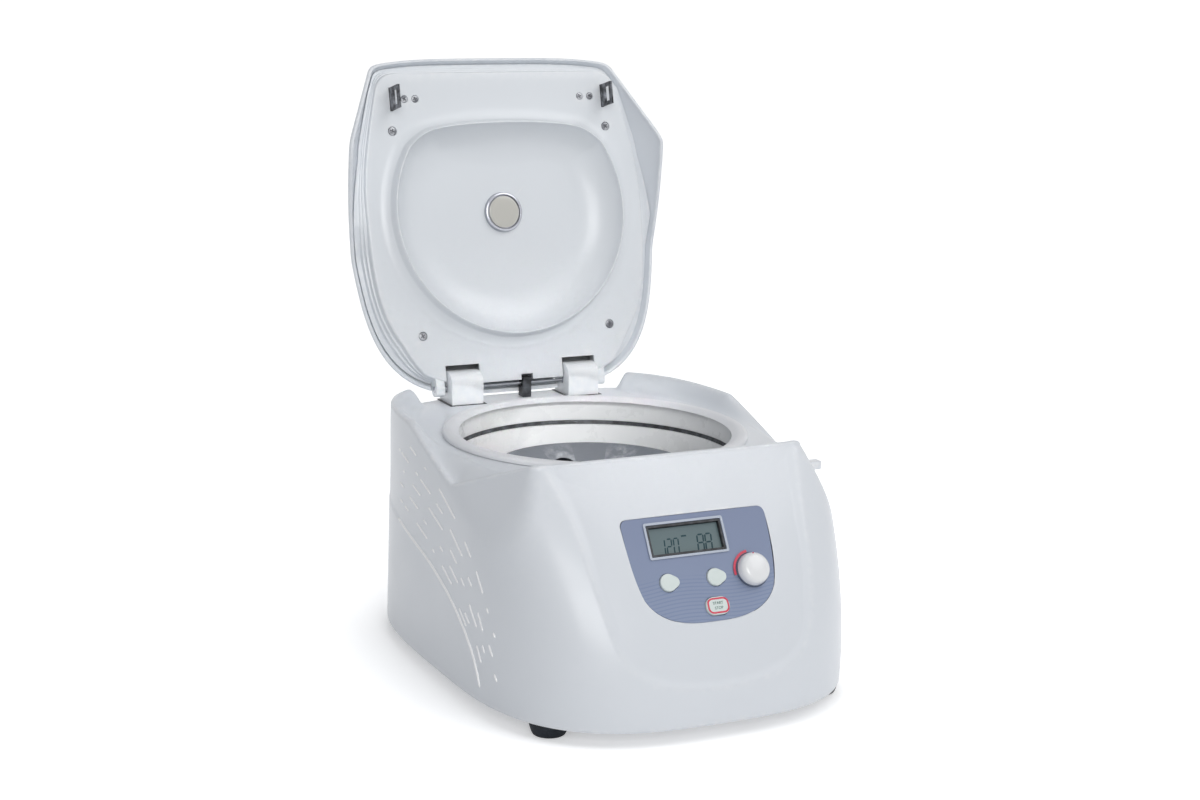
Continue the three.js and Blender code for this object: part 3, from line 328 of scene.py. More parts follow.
def inside(points, outline):
    """True for each 2-D point within a closed outline."""
    x, y = points[:, 0], points[:, 1]
    result = np.zeros(len(points), bool)
    following = np.roll(outline, -1, axis=0)
    for (x0, y0), (x1, y1) in zip(outline, following):
        if y0 == y1:
            continue
        crosses = (y0 > y) != (y1 > y)
        result ^= crosses & (x < x0 + (y - y0) * (x1 - x0) / (y1 - y0))
    return result


def depth_inside(points, outline):
    """Distance within a closed outline, negative outside it."""
    closed = np.concatenate([outline, outline[:1]])
    return line_distance(points, closed) * np.where(inside(points, outline), 1, -1)


def filleted(corners, radius, steps=4, closed=True):
    """Rounds the corners of a polyline; radius is one number or one for each corner."""
    corners = [np.array(corner, float) for corner in corners]
    radii = radius if hasattr(radius, "__len__") else [radius] * len(corners)
    rounded = []
    for i, corner in enumerate(corners):
        if radii[i] <= 0 or (not closed and i in (0, len(corners) - 1)):
            rounded.append(corner)
            continue
        before, after = corners[i - 1] - corner, corners[(i + 1) % len(corners)] - corner
        lengths = np.linalg.norm(before), np.linalg.norm(after)
        cut = min(radii[i], 0.48 * lengths[0], 0.48 * lengths[1])
        first, last = corner + before / lengths[0] * cut, corner + after / lengths[1] * cut
        for share in np.linspace(0, 1, steps + 1):
            rounded.append(
                first * (1 - share) ** 2 + corner * 2 * share * (1 - share) + last * share**2
            )
    return np.array(rounded)


def rounded_rectangle(x, y, width, height, radius, steps=8):
    """A closed outline, counter-clockwise."""
    points = []
    for turn, (side_x, side_y) in enumerate(((1, -1), (1, 1), (-1, 1), (-1, -1))):
        centre = (x + side_x * (width / 2 - radius), y + side_y * (height / 2 - radius))
        for share in range(steps + 1):
            angle = math.pi / 2 * (turn - 1 + share / steps)
            points.append((
                centre[0] + radius * math.cos(angle),
                centre[1] + radius * math.sin(angle),
            ))
    return np.array(points)


def circle(x, y, radius, steps=48):
    """A closed round outline."""
    turns = np.arange(steps) * TAU / steps
    return np.stack([x + radius * np.cos(turns), y + radius * np.sin(turns)], 1)


# ---------------------------------------------------------------- outer form


def smooth_minimum(a, b, blend):
    """The smaller of two values, with the change-over eased."""
    share = np.maximum(0, blend - np.abs(a - b)) / blend
    return np.minimum(a, b) - share * share * blend / 4


def body_radius(angle, height, inset=0.0, rear_reach=REAR_REACH):
    """Distance from the plan's middle to the skin in one direction at one height."""
    rise = np.clip((height - FOOT_HEIGHT) / (CREST_HEIGHT - FOOT_HEIGHT), 0, 1.1)
    half_width = HALF_WIDTH - SIDE_LEAN * rise - inset
    front = FRONT_REACH - FRONT_LEAN * rise**FRONT_CURVE - inset
    is_front = np.sin(angle) < 0
    reach = np.where(is_front, front, rear_reach - inset)
    power = np.where(is_front, FRONT_SQUARENESS + CREST_SQUARENESS * rise, REAR_SQUARENESS)
    across, along = np.abs(np.cos(angle)), np.abs(np.sin(angle))
    plain = ((across / half_width) ** power + (along / reach) ** power) ** (-1 / power)
    spread = FACET_X * across - FACET_Y * np.sin(angle)
    facet = FACET_DISTANCE - inset + FACET_Y * MIDDLE_Y - FACET_Z * height
    cut = smooth_minimum(plain, facet / np.maximum(spread, 0.05), FACET_BLEND)
    return np.where(spread <= 0.05, plain, cut)


def edge_height(y):
    """Height of the parting edge between housing and lid, with its corners eased."""
    places = (-1000, CREST_Y, NOTCH[0], SHOULDER[0], 1000)
    heights = (CREST_HEIGHT, CREST_HEIGHT, NOTCH[1], SHOULDER[1], SHOULDER[1])
    return sum(np.interp(y + shift, places, heights) for shift in (-3, -1.5, 0, 1.5, 3)) / 5


TABLE_HEIGHTS = np.linspace(0, 200, 101)


def skin_table(angles, inset):
    """Skin distance from the rotor's axis, for each height of the table and each direction."""
    turns = np.linspace(0, TAU, 1441)[:-1]
    rows = []
    for height in TABLE_HEIGHTS:
        radius = body_radius(turns, height, inset)
        rows += by_direction(radius * np.cos(turns), MIDDLE_Y + radius * np.sin(turns), angles)
    return np.array(rows)


def skin_radius(table, z):
    """Skin distance at one height for each column, or at rows of heights."""
    place = np.clip((z - TABLE_HEIGHTS[0]) / (TABLE_HEIGHTS[1] - TABLE_HEIGHTS[0]), 0, 99.999)
    low = np.floor(place).astype(int)
    share = place - low
    column = np.broadcast_to(np.arange(table.shape[1]), low.shape)
    return table[low, column] * (1 - share) + table[low + 1, column] * share


def panel_coordinates(points):
    """(across, up, out) of points in the control panel's frame."""
    sine, cosine = math.sin(PANEL_TILT), math.cos(PANEL_TILT)
    forward, height = points[..., 1] - PANEL_Y, points[..., 2] - PANEL_Z
    return points[..., 0], forward * sine + height * cosine, height * sine - forward * cosine


# Front relief: slopes of its rims, and the y places where it starts and is full.
SHIELD_SLOPE = 8.5
SCOOP_SLOPE = 5.5
FRONT_ZONE = (-108, -119)
# Side crease: its (y, z) line, the band above it where it fades, and how it eases in along y.
CREASE = np.array([
    (-112, 4), (-107, 20), (-100.5, 34), (-88, 50), (-58, 69.5), (-14, 86), (56, 100), (150, 112),
], float)
CREASE_FADE = (14, 62)
CREASE_START, CREASE_END = (-118, -96), (80, 125)
CREASE_DEPTH = 1.1


def relieved(points):
    """Adds the front shield, the overlay's scoop and the side creases to points on the skin."""
    points = points.copy()
    across, up, out = panel_coordinates(points)
    face = np.stack([across, up], 1)
    front = smoothstep(*FRONT_ZONE, points[:, 1])
    near = front > 0
    shield = np.zeros(len(points))
    shield[near] = smoothstep(0, SHIELD_SLOPE, depth_inside(face[near], shield_outline()))
    inward = sizes().shield_depth / MM * shield * front
    reach = np.zeros(len(points))
    rim = depth_inside(face[near], scoop_outline())
    beyond = -depth_inside(face[near], overlay_outline(2.0))
    rim, beyond = np.clip(rim, 0, None), np.clip(beyond, 0, None)
    reach[near] = np.clip(rim / np.maximum(np.minimum(SCOOP_SLOPE, rim + beyond), 1e-6), 0, 1)
    share = reach * reach * (3 - 2 * reach) * front
    level = (out - inward) * (1 - share) + share * np.minimum(out - inward, -0.1)
    moved = out - level
    points[:, 1] += moved * math.cos(PANEL_TILT)
    points[:, 2] -= moved * math.sin(PANEL_TILT)

    side = np.stack([points[:, 1], points[:, 2]], 1)
    above = points[:, 2] - np.interp(points[:, 1], CREASE[:, 0], CREASE[:, 1])
    away = line_distance(side, CREASE) * np.sign(above)
    depth = smoothstep(-1.8, 1.8, away) * (1 - smoothstep(*CREASE_FADE, away))
    depth *= smoothstep(*CREASE_START, points[:, 1]) * (1 - smoothstep(*CREASE_END, points[:, 1]))
    points[:, 0] -= np.sign(points[:, 0]) * CREASE_DEPTH * depth * (np.abs(points[:, 0]) > 100)
    return points



# ---------------------------------------------------------------- meshes


def in_frame(points):
    """Points in millimetres from the rotor's axis, as metres in the CAD frame."""
    return np.asarray(points, float) * MM + (SPINDLE_M.x, SPINDLE_M.y, 0)


def on_panel(points):
    """Points drawn on the control panel (across, up, out), as millimetres from the rotor's axis."""
    points = np.asarray(points, float)
    sine, cosine = math.sin(PANEL_TILT), math.cos(PANEL_TILT)
    across, up, out = points[:, 0], points[:, 1], points[:, 2]
    return np.stack([
        across, PANEL_Y + up * sine - out * cosine, PANEL_Z + up * cosine + out * sine,
    ], 1)


def lid_opened(points):
    """Points of the shut lid, turned to where the lid stands open."""
    points = np.asarray(points, float)
    turn = -math.radians(LID_OPEN)
    sine, cosine = math.sin(turn), math.cos(turn)
    y, z = points[:, 1] - PIN_Y, points[:, 2] - PIN_Z
    return np.stack([points[:, 0], PIN_Y + y * cosine - z * sine, PIN_Z + y * sine + z * cosine], 1)


def wrapped(columns, rows):
    """Faces of a closed grid: rows of one profile, repeated round the columns."""
    i, j = np.arange(columns)[:, None], np.arange(rows)[None, :]
    after, onward = (i + 1) % columns, (j + 1) % rows
    corners = (i * rows + j, after * rows + j, after * rows + onward, i * rows + onward)
    return np.stack(corners, -1).reshape(-1, 4).tolist()


def strip(columns, rows, first_tip, last_tip):
    """Faces of a closed form whose profile starts and ends on its axis."""
    faces = []
    for i in range(columns):
        after = (i + 1) % columns
        faces.append((first_tip, after * rows, i * rows))
        faces.append((last_tip, i * rows + rows - 1, after * rows + rows - 1))
        for j in range(rows - 1):
            faces.append((i * rows + j, after * rows + j, after * rows + j + 1, i * rows + j + 1))
    return faces


def turned(profile, segments, x=0.0, y=0.0):
    """A (radius, height) profile turned about an upright axis, as points and faces."""
    profile = np.asarray(profile, float)
    turns = np.arange(segments) * TAU / segments
    on_axis = profile[0][0] == 0 and profile[-1][0] == 0
    body = profile[1:-1] if on_axis else profile
    radius, height = body[:, 0][None, :], body[:, 1][None, :]
    points = np.stack([
        x + radius * np.cos(turns)[:, None],
        y + radius * np.sin(turns)[:, None],
        height + 0 * turns[:, None],
    ], -1).reshape(-1, 3)
    if not on_axis:
        return points, wrapped(segments, len(body))
    tips = [(x, y, profile[0][1]), (x, y, profile[-1][1])]
    count = len(points)
    return np.concatenate([points, tips]), strip(segments, len(body), count, count + 1)


def prism(outline, bottom, top):
    """A closed outline raised from one height to another."""
    count = len(outline)
    low = np.column_stack([outline, np.full(count, bottom)])
    high = np.column_stack([outline, np.full(count, top)])
    sides = [(i, (i + 1) % count, count + (i + 1) % count, count + i) for i in range(count)]
    return np.concatenate([low, high]), [
        *sides, tuple(range(count))[::-1], tuple(range(count, 2 * count)),
    ]


def domed_prism(outline, bottom, top, edge, crown=0.0, steps=4):
    """A closed outline raised between two heights, with a rounded upper edge and a crown."""
    centre = outline.mean(axis=0)
    reach = outline - centre
    size = np.linalg.norm(reach, axis=1).max()
    rings = [(1.0, bottom)]
    for share in np.linspace(0, 1, steps + 1):
        turn = share * math.pi / 2
        rings.append((1 - edge * (1 - math.cos(turn)) / size, top - edge + edge * math.sin(turn)))
    inner = rings[-1][0]
    for share in (0.8, 0.55, 0.3):
        rings.append((inner * share, top + crown * (1 - share**2)))
    count = len(outline)
    points = np.concatenate([
        np.column_stack([centre + reach * scale, np.full(count, height)])
        for scale, height in rings
    ])
    faces = [tuple(range(count))[::-1]]
    for ring in range(len(rings) - 1):
        for i in range(count):
            a, b = ring * count + i, ring * count + (i + 1) % count
            faces.append((a, b, b + count, a + count))
    start = (len(rings) - 1) * count
    tip = len(points)
    points = np.concatenate([points, [(centre[0], centre[1], top + crown)]])
    faces += [(start + i, start + (i + 1) % count, tip) for i in range(count)]
    return points, faces


def block(low, high):
    """A box from its lowest to its highest corner."""
    outline = np.array([(low[0], low[1]), (high[0], low[1]), (high[0], high[1]), (low[0], high[1])])
    return prism(outline, low[2], high[2])


def bar(left, right, y, z, radius, segments=48):
    """A round bar along x."""
    points, faces = prism(circle(0, 0, radius, segments), left, right)
    return np.stack([points[:, 2], points[:, 0] + y, points[:, 1] + z], 1), faces


def across_width(outline, left=-600.0, right=600.0):
    """An outline of (y, z) pairs carried along x."""
    points, faces = prism(np.array(outline, float), left, right)
    return np.stack([points[:, 2], points[:, 0], points[:, 1]], 1), faces


def moved(solid, how):
    """A solid with its points changed by a function."""
    return how(solid[0]), solid[1]


def joined(*solids):
    """Several solids as one list of points and faces."""
    points, faces, count = [], [], 0
    for part_points, part_faces in solids:
        points.append(np.asarray(part_points, float))
        faces += [tuple(i + count for i in face) for face in part_faces]
        count += len(part_points)
    return np.concatenate(points), faces


def mesh_object(name, solid):
    """A Blender object from points in the rotor's frame, in millimetres."""
    mesh = bpy.data.meshes.new(name)
    mesh.from_pydata(in_frame(solid[0]).tolist(), [], solid[1])
    mesh.update()
    made = bpy.data.objects.new(name, mesh)
    bpy.context.scene.collection.objects.link(made)
    return made


def baked(made):
    """Puts an object's modifiers into its mesh."""
    bpy.context.view_layer.update()
    evaluated = made.evaluated_get(bpy.context.evaluated_depsgraph_get())
    mesh = bpy.data.meshes.new_from_object(evaluated)
    made.modifiers.clear()
    old = made.data
    made.data = mesh
    mesh.name = made.name
    bpy.data.meshes.remove(old)


def carved(made, *solids):
    """Cuts each solid in turn out of an object's mesh."""
    for solid in solids:
        cutter = mesh_object("cutter", solid)
        cut = made.modifiers.new("opening", "BOOLEAN")
        cut.operation = "DIFFERENCE"
        cut.solver = "MANIFOLD"
        cut.object = cutter
        baked(made)
        shape = cutter.data
        bpy.data.objects.remove(cutter)
        bpy.data.meshes.remove(shape)
    if not made.data.polygons:
        raise RuntimeError(f"{made.name}: its openings left nothing of it")
    return made


def finished(made, body, finish, stands_for=(), sharp=38.0):
    """Shades an object, gives it its material and sets it on its CAD body."""
    if made.type == "MESH":
        made.data.shade_smooth()
        made.data.set_sharp_from_angle(angle=math.radians(sharp))
    made.data.materials.clear()
    made.data.materials.append(finish)
    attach(made, body)
    if stands_for:
        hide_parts(*stands_for)
    return made


def piece(name, solid, body, finish, stands_for=(), sharp=38.0):
    """A finished object straight from points and faces."""
    return finished(mesh_object(name, solid), body, finish, stands_for, sharp)


def eased(made, width, angle):
    """Rounds an object's edges sharper than an angle, by a width in millimetres."""
    ease = made.modifiers.new("eased edges", "BEVEL")
    ease.width = width * MM
    ease.segments = 3
    ease.limit_method = "ANGLE"
    ease.angle_limit = math.radians(angle)


def dressed(nodes, finish, bevel=0.0, sharp=38.0):
    """Gives CAD nodes a material, and eases their edges by a width in millimetres."""
    for node in nodes:
        made = frame["nodes"][node]
        made.data.materials.clear()
        made.data.materials.append(finish)
        if bevel:
            eased(made, bevel, sharp)
        made.data.shade_smooth()
        made.data.set_sharp_from_angle(angle=math.radians(sharp))


def plate(name, outlines, thickness, bevel, lift=0.0):
    """A flat plate from an outer outline and its holes, with eased edges, in its own plane."""
    curve = bpy.data.curves.new(name, "CURVE")
    curve.dimensions = "2D"
    curve.fill_mode = "BOTH"
    curve.extrude = (thickness / 2 - bevel) * MM
    curve.bevel_depth = bevel * MM
    curve.bevel_resolution = 2
    curve.offset = -bevel * MM
    for outline in outlines:
        spline = curve.splines.new("POLY")
        spline.points.add(len(outline) - 1)
        flat = np.zeros((len(outline), 4))
        flat[:, :2] = np.asarray(outline) * MM
        flat[:, 3] = 1
        spline.points.foreach_set("co", flat.ravel())
        spline.use_cyclic_u = True
    return meshed(curve, name, lift - thickness / 2)


def meshed(curve, name, lift):
    """A curve or text as a mesh object, lifted by millimetres in its own plane."""
    source = bpy.data.objects.new(name + "_line", curve)
    bpy.context.scene.collection.objects.link(source)
    bpy.context.view_layer.update()
    evaluated = source.evaluated_get(bpy.context.evaluated_depsgraph_get())
    mesh = bpy.data.meshes.new_from_object(evaluated)
    bpy.data.objects.remove(source)
    bpy.data.curves.remove(curve)
    mesh.transform(Matrix.Translation((0, 0, lift * MM)))
    made = bpy.data.objects.new(name, mesh)
    bpy.context.scene.collection.objects.link(made)
    return made


def lettering(name, words, size, x, y, thickness=0.12, lift=0.0):
    """Short words or numbers as thin raised print in a flat plane, centred on a point."""
    curve = bpy.data.curves.new(name, "FONT")
    curve.body = words
    curve.size = size * MM
    curve.align_x = "CENTER"
    curve.align_y = "CENTER"
    curve.extrude = thickness / 2 * MM
    made = meshed(curve, name, lift)
    made.data.transform(Matrix.Translation((x * MM, y * MM, 0)))
    return made


def laid(made, how):
    """Moves a mesh drawn flat, in metres, by a function of its points in millimetres."""
    vertices = made.data.vertices
    flat = np.zeros(len(vertices) * 3)
    vertices.foreach_get("co", flat)
    vertices.foreach_set("co", in_frame(how(flat.reshape(-1, 3) / MM)).ravel())
    made.data.update()
    return made


def on_rear(points):
    """Points drawn on the rear wall (leftwards, up, out), as millimetres from the rotor's axis."""
    return np.stack([-points[:, 0], REAR_Y + points[:, 2], points[:, 1]], 1)



# ---------------------------------------------------------------- finishes


def shade(colour):
    """A linear colour from one written as a six-digit hexadecimal number."""
    parts = [(colour >> shift & 255) / 255 for shift in (16, 8, 0)]
    return (*(c / 12.92 if c <= 0.04045 else ((c + 0.055) / 1.055) ** 2.4 for c in parts), 1.0)


def node_group(name, inputs, outputs):
    """An empty shader group with float inputs and outputs, and its own two end nodes."""
    group = bpy.data.node_groups.new(name, "ShaderNodeTree")
    for socket, value in inputs.items():
        made = group.interface.new_socket(socket, in_out="INPUT", socket_type="NodeSocketFloat")
        made.default_value = value
    for socket in outputs:
        group.interface.new_socket(socket, in_out="OUTPUT", socket_type="NodeSocketFloat")
    return group, group.nodes.new("NodeGroupInput"), group.nodes.new("NodeGroupOutput")


def noise_node(tree, vector, detail, roughness=0.55, scale=None):
    """A noise texture read at a vector."""
    noise = tree.nodes.new("ShaderNodeTexNoise")
    noise.inputs["Detail"].default_value = detail
    noise.inputs["Roughness"].default_value = roughness
    if scale is not None:
        noise.inputs["Scale"].default_value = scale
    tree.links.new(vector, noise.inputs["Vector"])
    return noise


def remapped(tree, value, from_low, from_high, to_low=0.0, to_high=1.0):
    """A value moved from one range to another and kept within it."""
    change = tree.nodes.new("ShaderNodeMapRange")
    for socket, number in zip(
        ("From Min", "From Max", "To Min", "To Max"), (from_low, from_high, to_low, to_high)
    ):
        change.inputs[socket].default_value = number
    tree.links.new(value, change.inputs["Value"])
    return change.outputs["Result"]


def feed(tree, value, socket):
    """Gives a socket its value: a link from another socket, or a plain number or colour."""
    if isinstance(value, bpy.types.NodeSocket):
        tree.links.new(value, socket)
    else:
        socket.default_value = value


def computed(tree, operation, *values):
    """The result of one operation of the Math node on numbers and sockets."""
    node = tree.nodes.new("ShaderNodeMath")
    node.operation = operation
    for socket, value in zip(node.inputs, values):
        feed(tree, value, socket)
    return node.outputs[0]


def multiplied(tree, first, second):
    """The product of two values, either of which may be a number."""
    return computed(tree, "MULTIPLY", first, second)


def object_point(tree):
    """Coordinates in an object's own space."""
    return tree.nodes.new("ShaderNodeTexCoord").outputs["Object"]


def one_axis(tree, vector, axis):
    """One coordinate of a vector."""
    apart = tree.nodes.new("ShaderNodeSeparateXYZ")
    tree.links.new(vector, apart.inputs[0])
    return apart.outputs[axis]


def moulded_surface():
    """Fine grain and slow unevenness of a moulded or painted surface."""
    group, start, end = node_group(
        "moulded_surface", {"Grain": 900.0}, ("Height", "Tone", "Gloss")
    )
    place = object_point(group)
    grain = noise_node(group, place, 3.0)
    group.links.new(start.outputs["Grain"], grain.inputs["Scale"])
    sag = noise_node(group, place, 1.0, scale=22.0)
    height = computed(group, "MULTIPLY_ADD", sag.outputs["Fac"], 1.6, grain.outputs["Fac"])
    group.links.new(height, end.inputs["Height"])
    tone = noise_node(group, place, 2.0, scale=7.0)
    group.links.new(remapped(group, tone.outputs["Fac"], 0.3, 0.7), end.inputs["Tone"])
    smear = noise_node(group, place, 5.0, scale=48.0)
    group.links.new(remapped(group, smear.outputs["Fac"], 0.25, 0.75), end.inputs["Gloss"])
    return group


def edge_wear_and_highlight():
    """A mask that follows convex edges, broken up by noise."""
    group, start, end = node_group("edge_wear_and_highlight", {"Reach": 0.03}, ("Mask",))
    pointed = group.nodes.new("ShaderNodeNewGeometry").outputs["Pointiness"]
    scuffs = noise_node(group, object_point(group), 4.0, scale=160.0)
    above = computed(group, "SUBTRACT", pointed, 0.5)
    share = computed(group, "DIVIDE", above, start.outputs["Reach"])
    share.node.use_clamp = True
    broken = remapped(group, scuffs.outputs["Fac"], 0.4, 0.7)
    group.links.new(multiplied(group, share, broken), end.inputs["Mask"])
    return group


def settled_dust():
    """A mask of faint dust on faces that look upwards."""
    group, start, end = node_group("settled_dust", {"Amount": 0.1}, ("Mask",))
    normal = group.nodes.new("ShaderNodeNewGeometry").outputs["Normal"]
    upward = remapped(group, one_axis(group, normal, "Z"), 0.55, 1.0)
    drift = noise_node(group, object_point(group), 6.0, scale=35.0)
    patchy = remapped(group, drift.outputs["Fac"], 0.35, 0.75)
    mask = multiplied(group, upward, patchy)
    group.links.new(multiplied(group, mask, start.outputs["Amount"]), end.inputs["Mask"])
    return group


def drawn_lines():
    """Fine parallel lines of rolled or turned metal."""
    group, start, end = node_group("drawn_lines", {"Density": 1400.0}, ("Height", "Gloss"))
    stretch = group.nodes.new("ShaderNodeVectorMath")
    stretch.operation = "MULTIPLY"
    group.links.new(object_point(group), stretch.inputs[0])
    stretch.inputs[1].default_value = (0.06, 0.06, 1.0)
    lines = noise_node(group, stretch.outputs[0], 3.0, 0.7)
    group.links.new(start.outputs["Density"], lines.inputs["Scale"])
    group.links.new(lines.outputs["Fac"], end.inputs["Height"])
    group.links.new(remapped(group, lines.outputs["Fac"], 0.3, 0.7), end.inputs["Gloss"])
    return group


GROUPS = {}
FINISHES = {}
DUST_COLOUR = shade(0xD6D2CA)


def placed_group(tree, maker, **values):
    """A group, made once for all materials, placed in a material with its own values."""
    if maker.__name__ not in GROUPS:
        GROUPS[maker.__name__] = maker()
    node = tree.nodes.new("ShaderNodeGroup")
    node.node_tree = GROUPS[maker.__name__]
    for socket, value in values.items():
        node.inputs[socket].default_value = value
    return node.outputs


def blended(tree, mask, first, second):
    """Two colours mixed by a mask; each is a colour or a socket."""
    mix = tree.nodes.new("ShaderNodeMix")
    mix.data_type = "RGBA"
    feed(tree, mask, mix.inputs["Factor"])
    feed(tree, first, mix.inputs[6])
    feed(tree, second, mix.inputs[7])
    return mix.outputs[2]


def darker(colour, share):
    """A colour with part of its light taken away."""
    return (*(c * (1 - share) for c in colour[:3]), 1.0)


def finish(name, colour, roughness, *, metallic=0.0, coat=0.0, coat_roughness=0.08, grain=900.0,
           depth=0.012, tone=0.035, spread=0.05, wear_and_highlight=None, dust=0.0, lines=False,
           specular=0.5, transmission=0.0, layers=None):
    """A material with grain, uneven tone and gloss, tinted edges and dust; one for each name. Edge
    tint is wear, and on the white mouldings a painted highlight.
    """
    if name in FINISHES:
        return FINISHES[name]
    material = bpy.data.materials.new(name)
    material.use_nodes = True
    tree = material.node_tree
    tree.nodes.clear()
    out = tree.nodes.new("ShaderNodeOutputMaterial")
    shader = tree.nodes.new("ShaderNodeBsdfPrincipled")
    tree.links.new(shader.outputs[0], out.inputs["Surface"])
    for socket, value in (
        ("Metallic", metallic), ("Coat Weight", coat), ("Coat Roughness", coat_roughness),
        ("Specular IOR Level", specular), ("Transmission Weight", transmission),
    ):
        shader.inputs[socket].default_value = value
    surface = placed_group(tree, moulded_surface, Grain=grain)
    paint = blended(tree, surface["Tone"], colour, darker(colour, tone))
    if layers:
        paint = layers(tree, paint)
    # Edge tint: wear on metal, rubber and dark plastic; on the white mouldings, a painted
    # highlight.
    if wear_and_highlight:
        wear_and_highlight_mask = placed_group(tree, edge_wear_and_highlight, Reach=wear_and_highlight[1])["Mask"]
        paint = blended(tree, wear_and_highlight_mask, paint, wear_and_highlight[0])
    if dust:
        settled = placed_group(tree, settled_dust, Amount=dust)["Mask"]
        paint = blended(tree, settled, paint, DUST_COLOUR)
    tree.links.new(paint, shader.inputs["Base Color"])
    height, gloss = surface["Height"], surface["Gloss"]
    if lines:
        drawn = placed_group(tree, drawn_lines)
        height, gloss = drawn["Height"], drawn["Gloss"]
    rough = remapped(tree, gloss, 0.0, 1.0, max(roughness - spread, 0.02), roughness + spread)
    tree.links.new(rough, shader.inputs["Roughness"])
    bump = tree.nodes.new("ShaderNodeBump")
    bump.inputs["Strength"].default_value = 0.35
    bump.inputs["Distance"].default_value = depth * MM
    tree.links.new(height, bump.inputs["Height"])
    tree.links.new(bump.outputs["Normal"], shader.inputs["Normal"])
    FINISHES[name] = material
    return material


# Printed waves: turn per metre along x, reach of the wave and pitch of the lines.
WAVE_TURN_M, WAVE_REACH_M, WAVE_PITCH_M = 75.0, 0.0016, 0.0026


def printed_waves(tree, paint):
    """Thin wavy lines across the lower half of the overlay, and a paler tone towards its foot."""
    place = object_point(tree)
    along = tree.nodes.new("ShaderNodeVectorMath")
    along.operation = "DOT_PRODUCT"
    tree.links.new(place, along.inputs[0])
    along.inputs[1].default_value = (0, math.sin(PANEL_TILT), math.cos(PANEL_TILT))
    origin = in_frame(on_panel([(0, 0, 0)]))[0]
    level = origin[1] * math.sin(PANEL_TILT) + origin[2] * math.cos(PANEL_TILT)
    up = along.outputs["Value"]
    sway = computed(tree, "SINE", multiplied(tree, one_axis(tree, place, "X"), WAVE_TURN_M))
    bend = computed(tree, "MULTIPLY_ADD", sway, WAVE_REACH_M, up)
    ripple = computed(tree, "SINE", multiplied(tree, bend, TAU / WAVE_PITCH_M))
    line = remapped(tree, ripple, 0.2, 0.9)
    low = remapped(tree, up, level + 0.009, level + 0.004)
    paler = remapped(tree, up, level + 0.05, level - 0.02)
    paint = blended(tree, multiplied(tree, paler, 0.4), paint, shade(0x97A5BE))
    lined = multiplied(tree, multiplied(tree, line, low), 0.4)
    return blended(tree, lined, paint, shade(0x7080A4))


def panel_painted_shade(tree, paint):
    """Painted shade across the liquid crystal panel: darker towards its top, where the bezel's wall
    shades it.
    """
    rise = remapped(tree, one_axis(tree, object_point(tree), "Z"), 0.118, 0.142)
    return blended(tree, multiplied(tree, rise, 0.55), paint, shade(0x4B5E64))


# ---------------------------------------------------------------- settings


def light_setting(name, text, default):
    """A strength of light that a user can change."""
    return FloatProperty(name=name, description=text, default=default, min=0)


def size_setting(name, text, default, low, high):
    """A length in metres that a user can change."""
    return FloatProperty(
        name=name, description=text, default=default, min=low, max=high,
        subtype="DISTANCE", unit="LENGTH", precision=4,
    )


def colour_setting(name, text, default):
    """A colour that a user can change."""
    return FloatVectorProperty(
        name=name, description=text, default=shade(default), size=4, min=0, max=1, subtype="COLOR",
    )


class CentrifugeSizes(bpy.types.PropertyGroup):
    """Sizes of the visible details."""

    edge_round: size_setting(
        "Edge round", "Radius of the housing's upper edge", 0.0026, 0.001, 0.004
    )
    shield_depth: size_setting("Shield depth", "Depth of the front shield", 0.0024, 0, 0.004)
    bead: size_setting("Liner bead", "Height of the bead round the lid recess", 0.0011, 0, 0.002)
    mark_width: size_setting(
        "Side mark width", "Width of the raised side marks", 0.0018, 0.001, 0.003
    )
    columns: IntProperty(
        name="Columns", description="Mesh columns round the housing", default=560, min=200, max=900
    )


class CentrifugeColours(bpy.types.PropertyGroup):
    """Colours of the finishes."""

    housing: colour_setting("Housing", "White moulded housing and lid", 0xE3E7EC)
    liner: colour_setting("Lid liner", "Liner inside the lid", 0xE6EAEE)
    bowl: colour_setting("Bowl", "Lining of the bowl", 0xFBFCFC)
    seal: colour_setting("Bowl seal", "Soft ring round the bowl", 0xEBECEF)
    overlay: colour_setting("Overlay", "Control overlay", 0x8792AE)
    keys: colour_setting("Keys", "Soft keys", 0xDFE9E6)
    accent: colour_setting("Accent", "Start and stop ring, and arc at the knob", 0xD8405A)
    rubber: colour_setting("Feet", "Rubber feet", 0x10161F)


def sizes():
    """The scene's size settings."""
    return bpy.context.scene.centrifuge_sizes


def colours():
    """The scene's colour settings."""
    return bpy.context.scene.centrifuge_colours


def housing_finish():
    """Cool white moulded plastic with a soft satin gloss; its whiter edges are a painted highlight.
    """
    return finish(
        "white_moulding", tuple(colours().housing), 0.36, coat=0.25, coat_roughness=0.18,
        grain=1100.0, depth=0.010, tone=0.02, dust=0.06, wear_and_highlight=(shade(0xF4F5F6), 0.06),
    )


def liner_finish():
    """Satin plastic of the liner, a touch lighter than the housing; its whiter edges are a painted
    highlight.
    """
    return finish(
        "liner_moulding", tuple(colours().liner), 0.34, coat=0.3, coat_roughness=0.2,
        grain=800.0, depth=0.012, tone=0.025, wear_and_highlight=(shade(0xF1F2F3), 0.06),
    )


def steel_finish():
    """Plated steel with fine drawn lines."""
    return finish(
        "plated_steel", shade(0xA9ACB2), 0.3, metallic=1.0, depth=0.006, tone=0.2, lines=True,
        wear_and_highlight=(shade(0xD2D4D8), 0.05),
    )


def dark_steel_finish():
    """Blackened spring steel of the lid strikers."""
    return finish(
        "dark_steel", shade(0x25272C), 0.42, metallic=0.6, depth=0.006, tone=0.3, lines=True,
        wear_and_highlight=(shade(0x8A8D94), 0.05),
    )


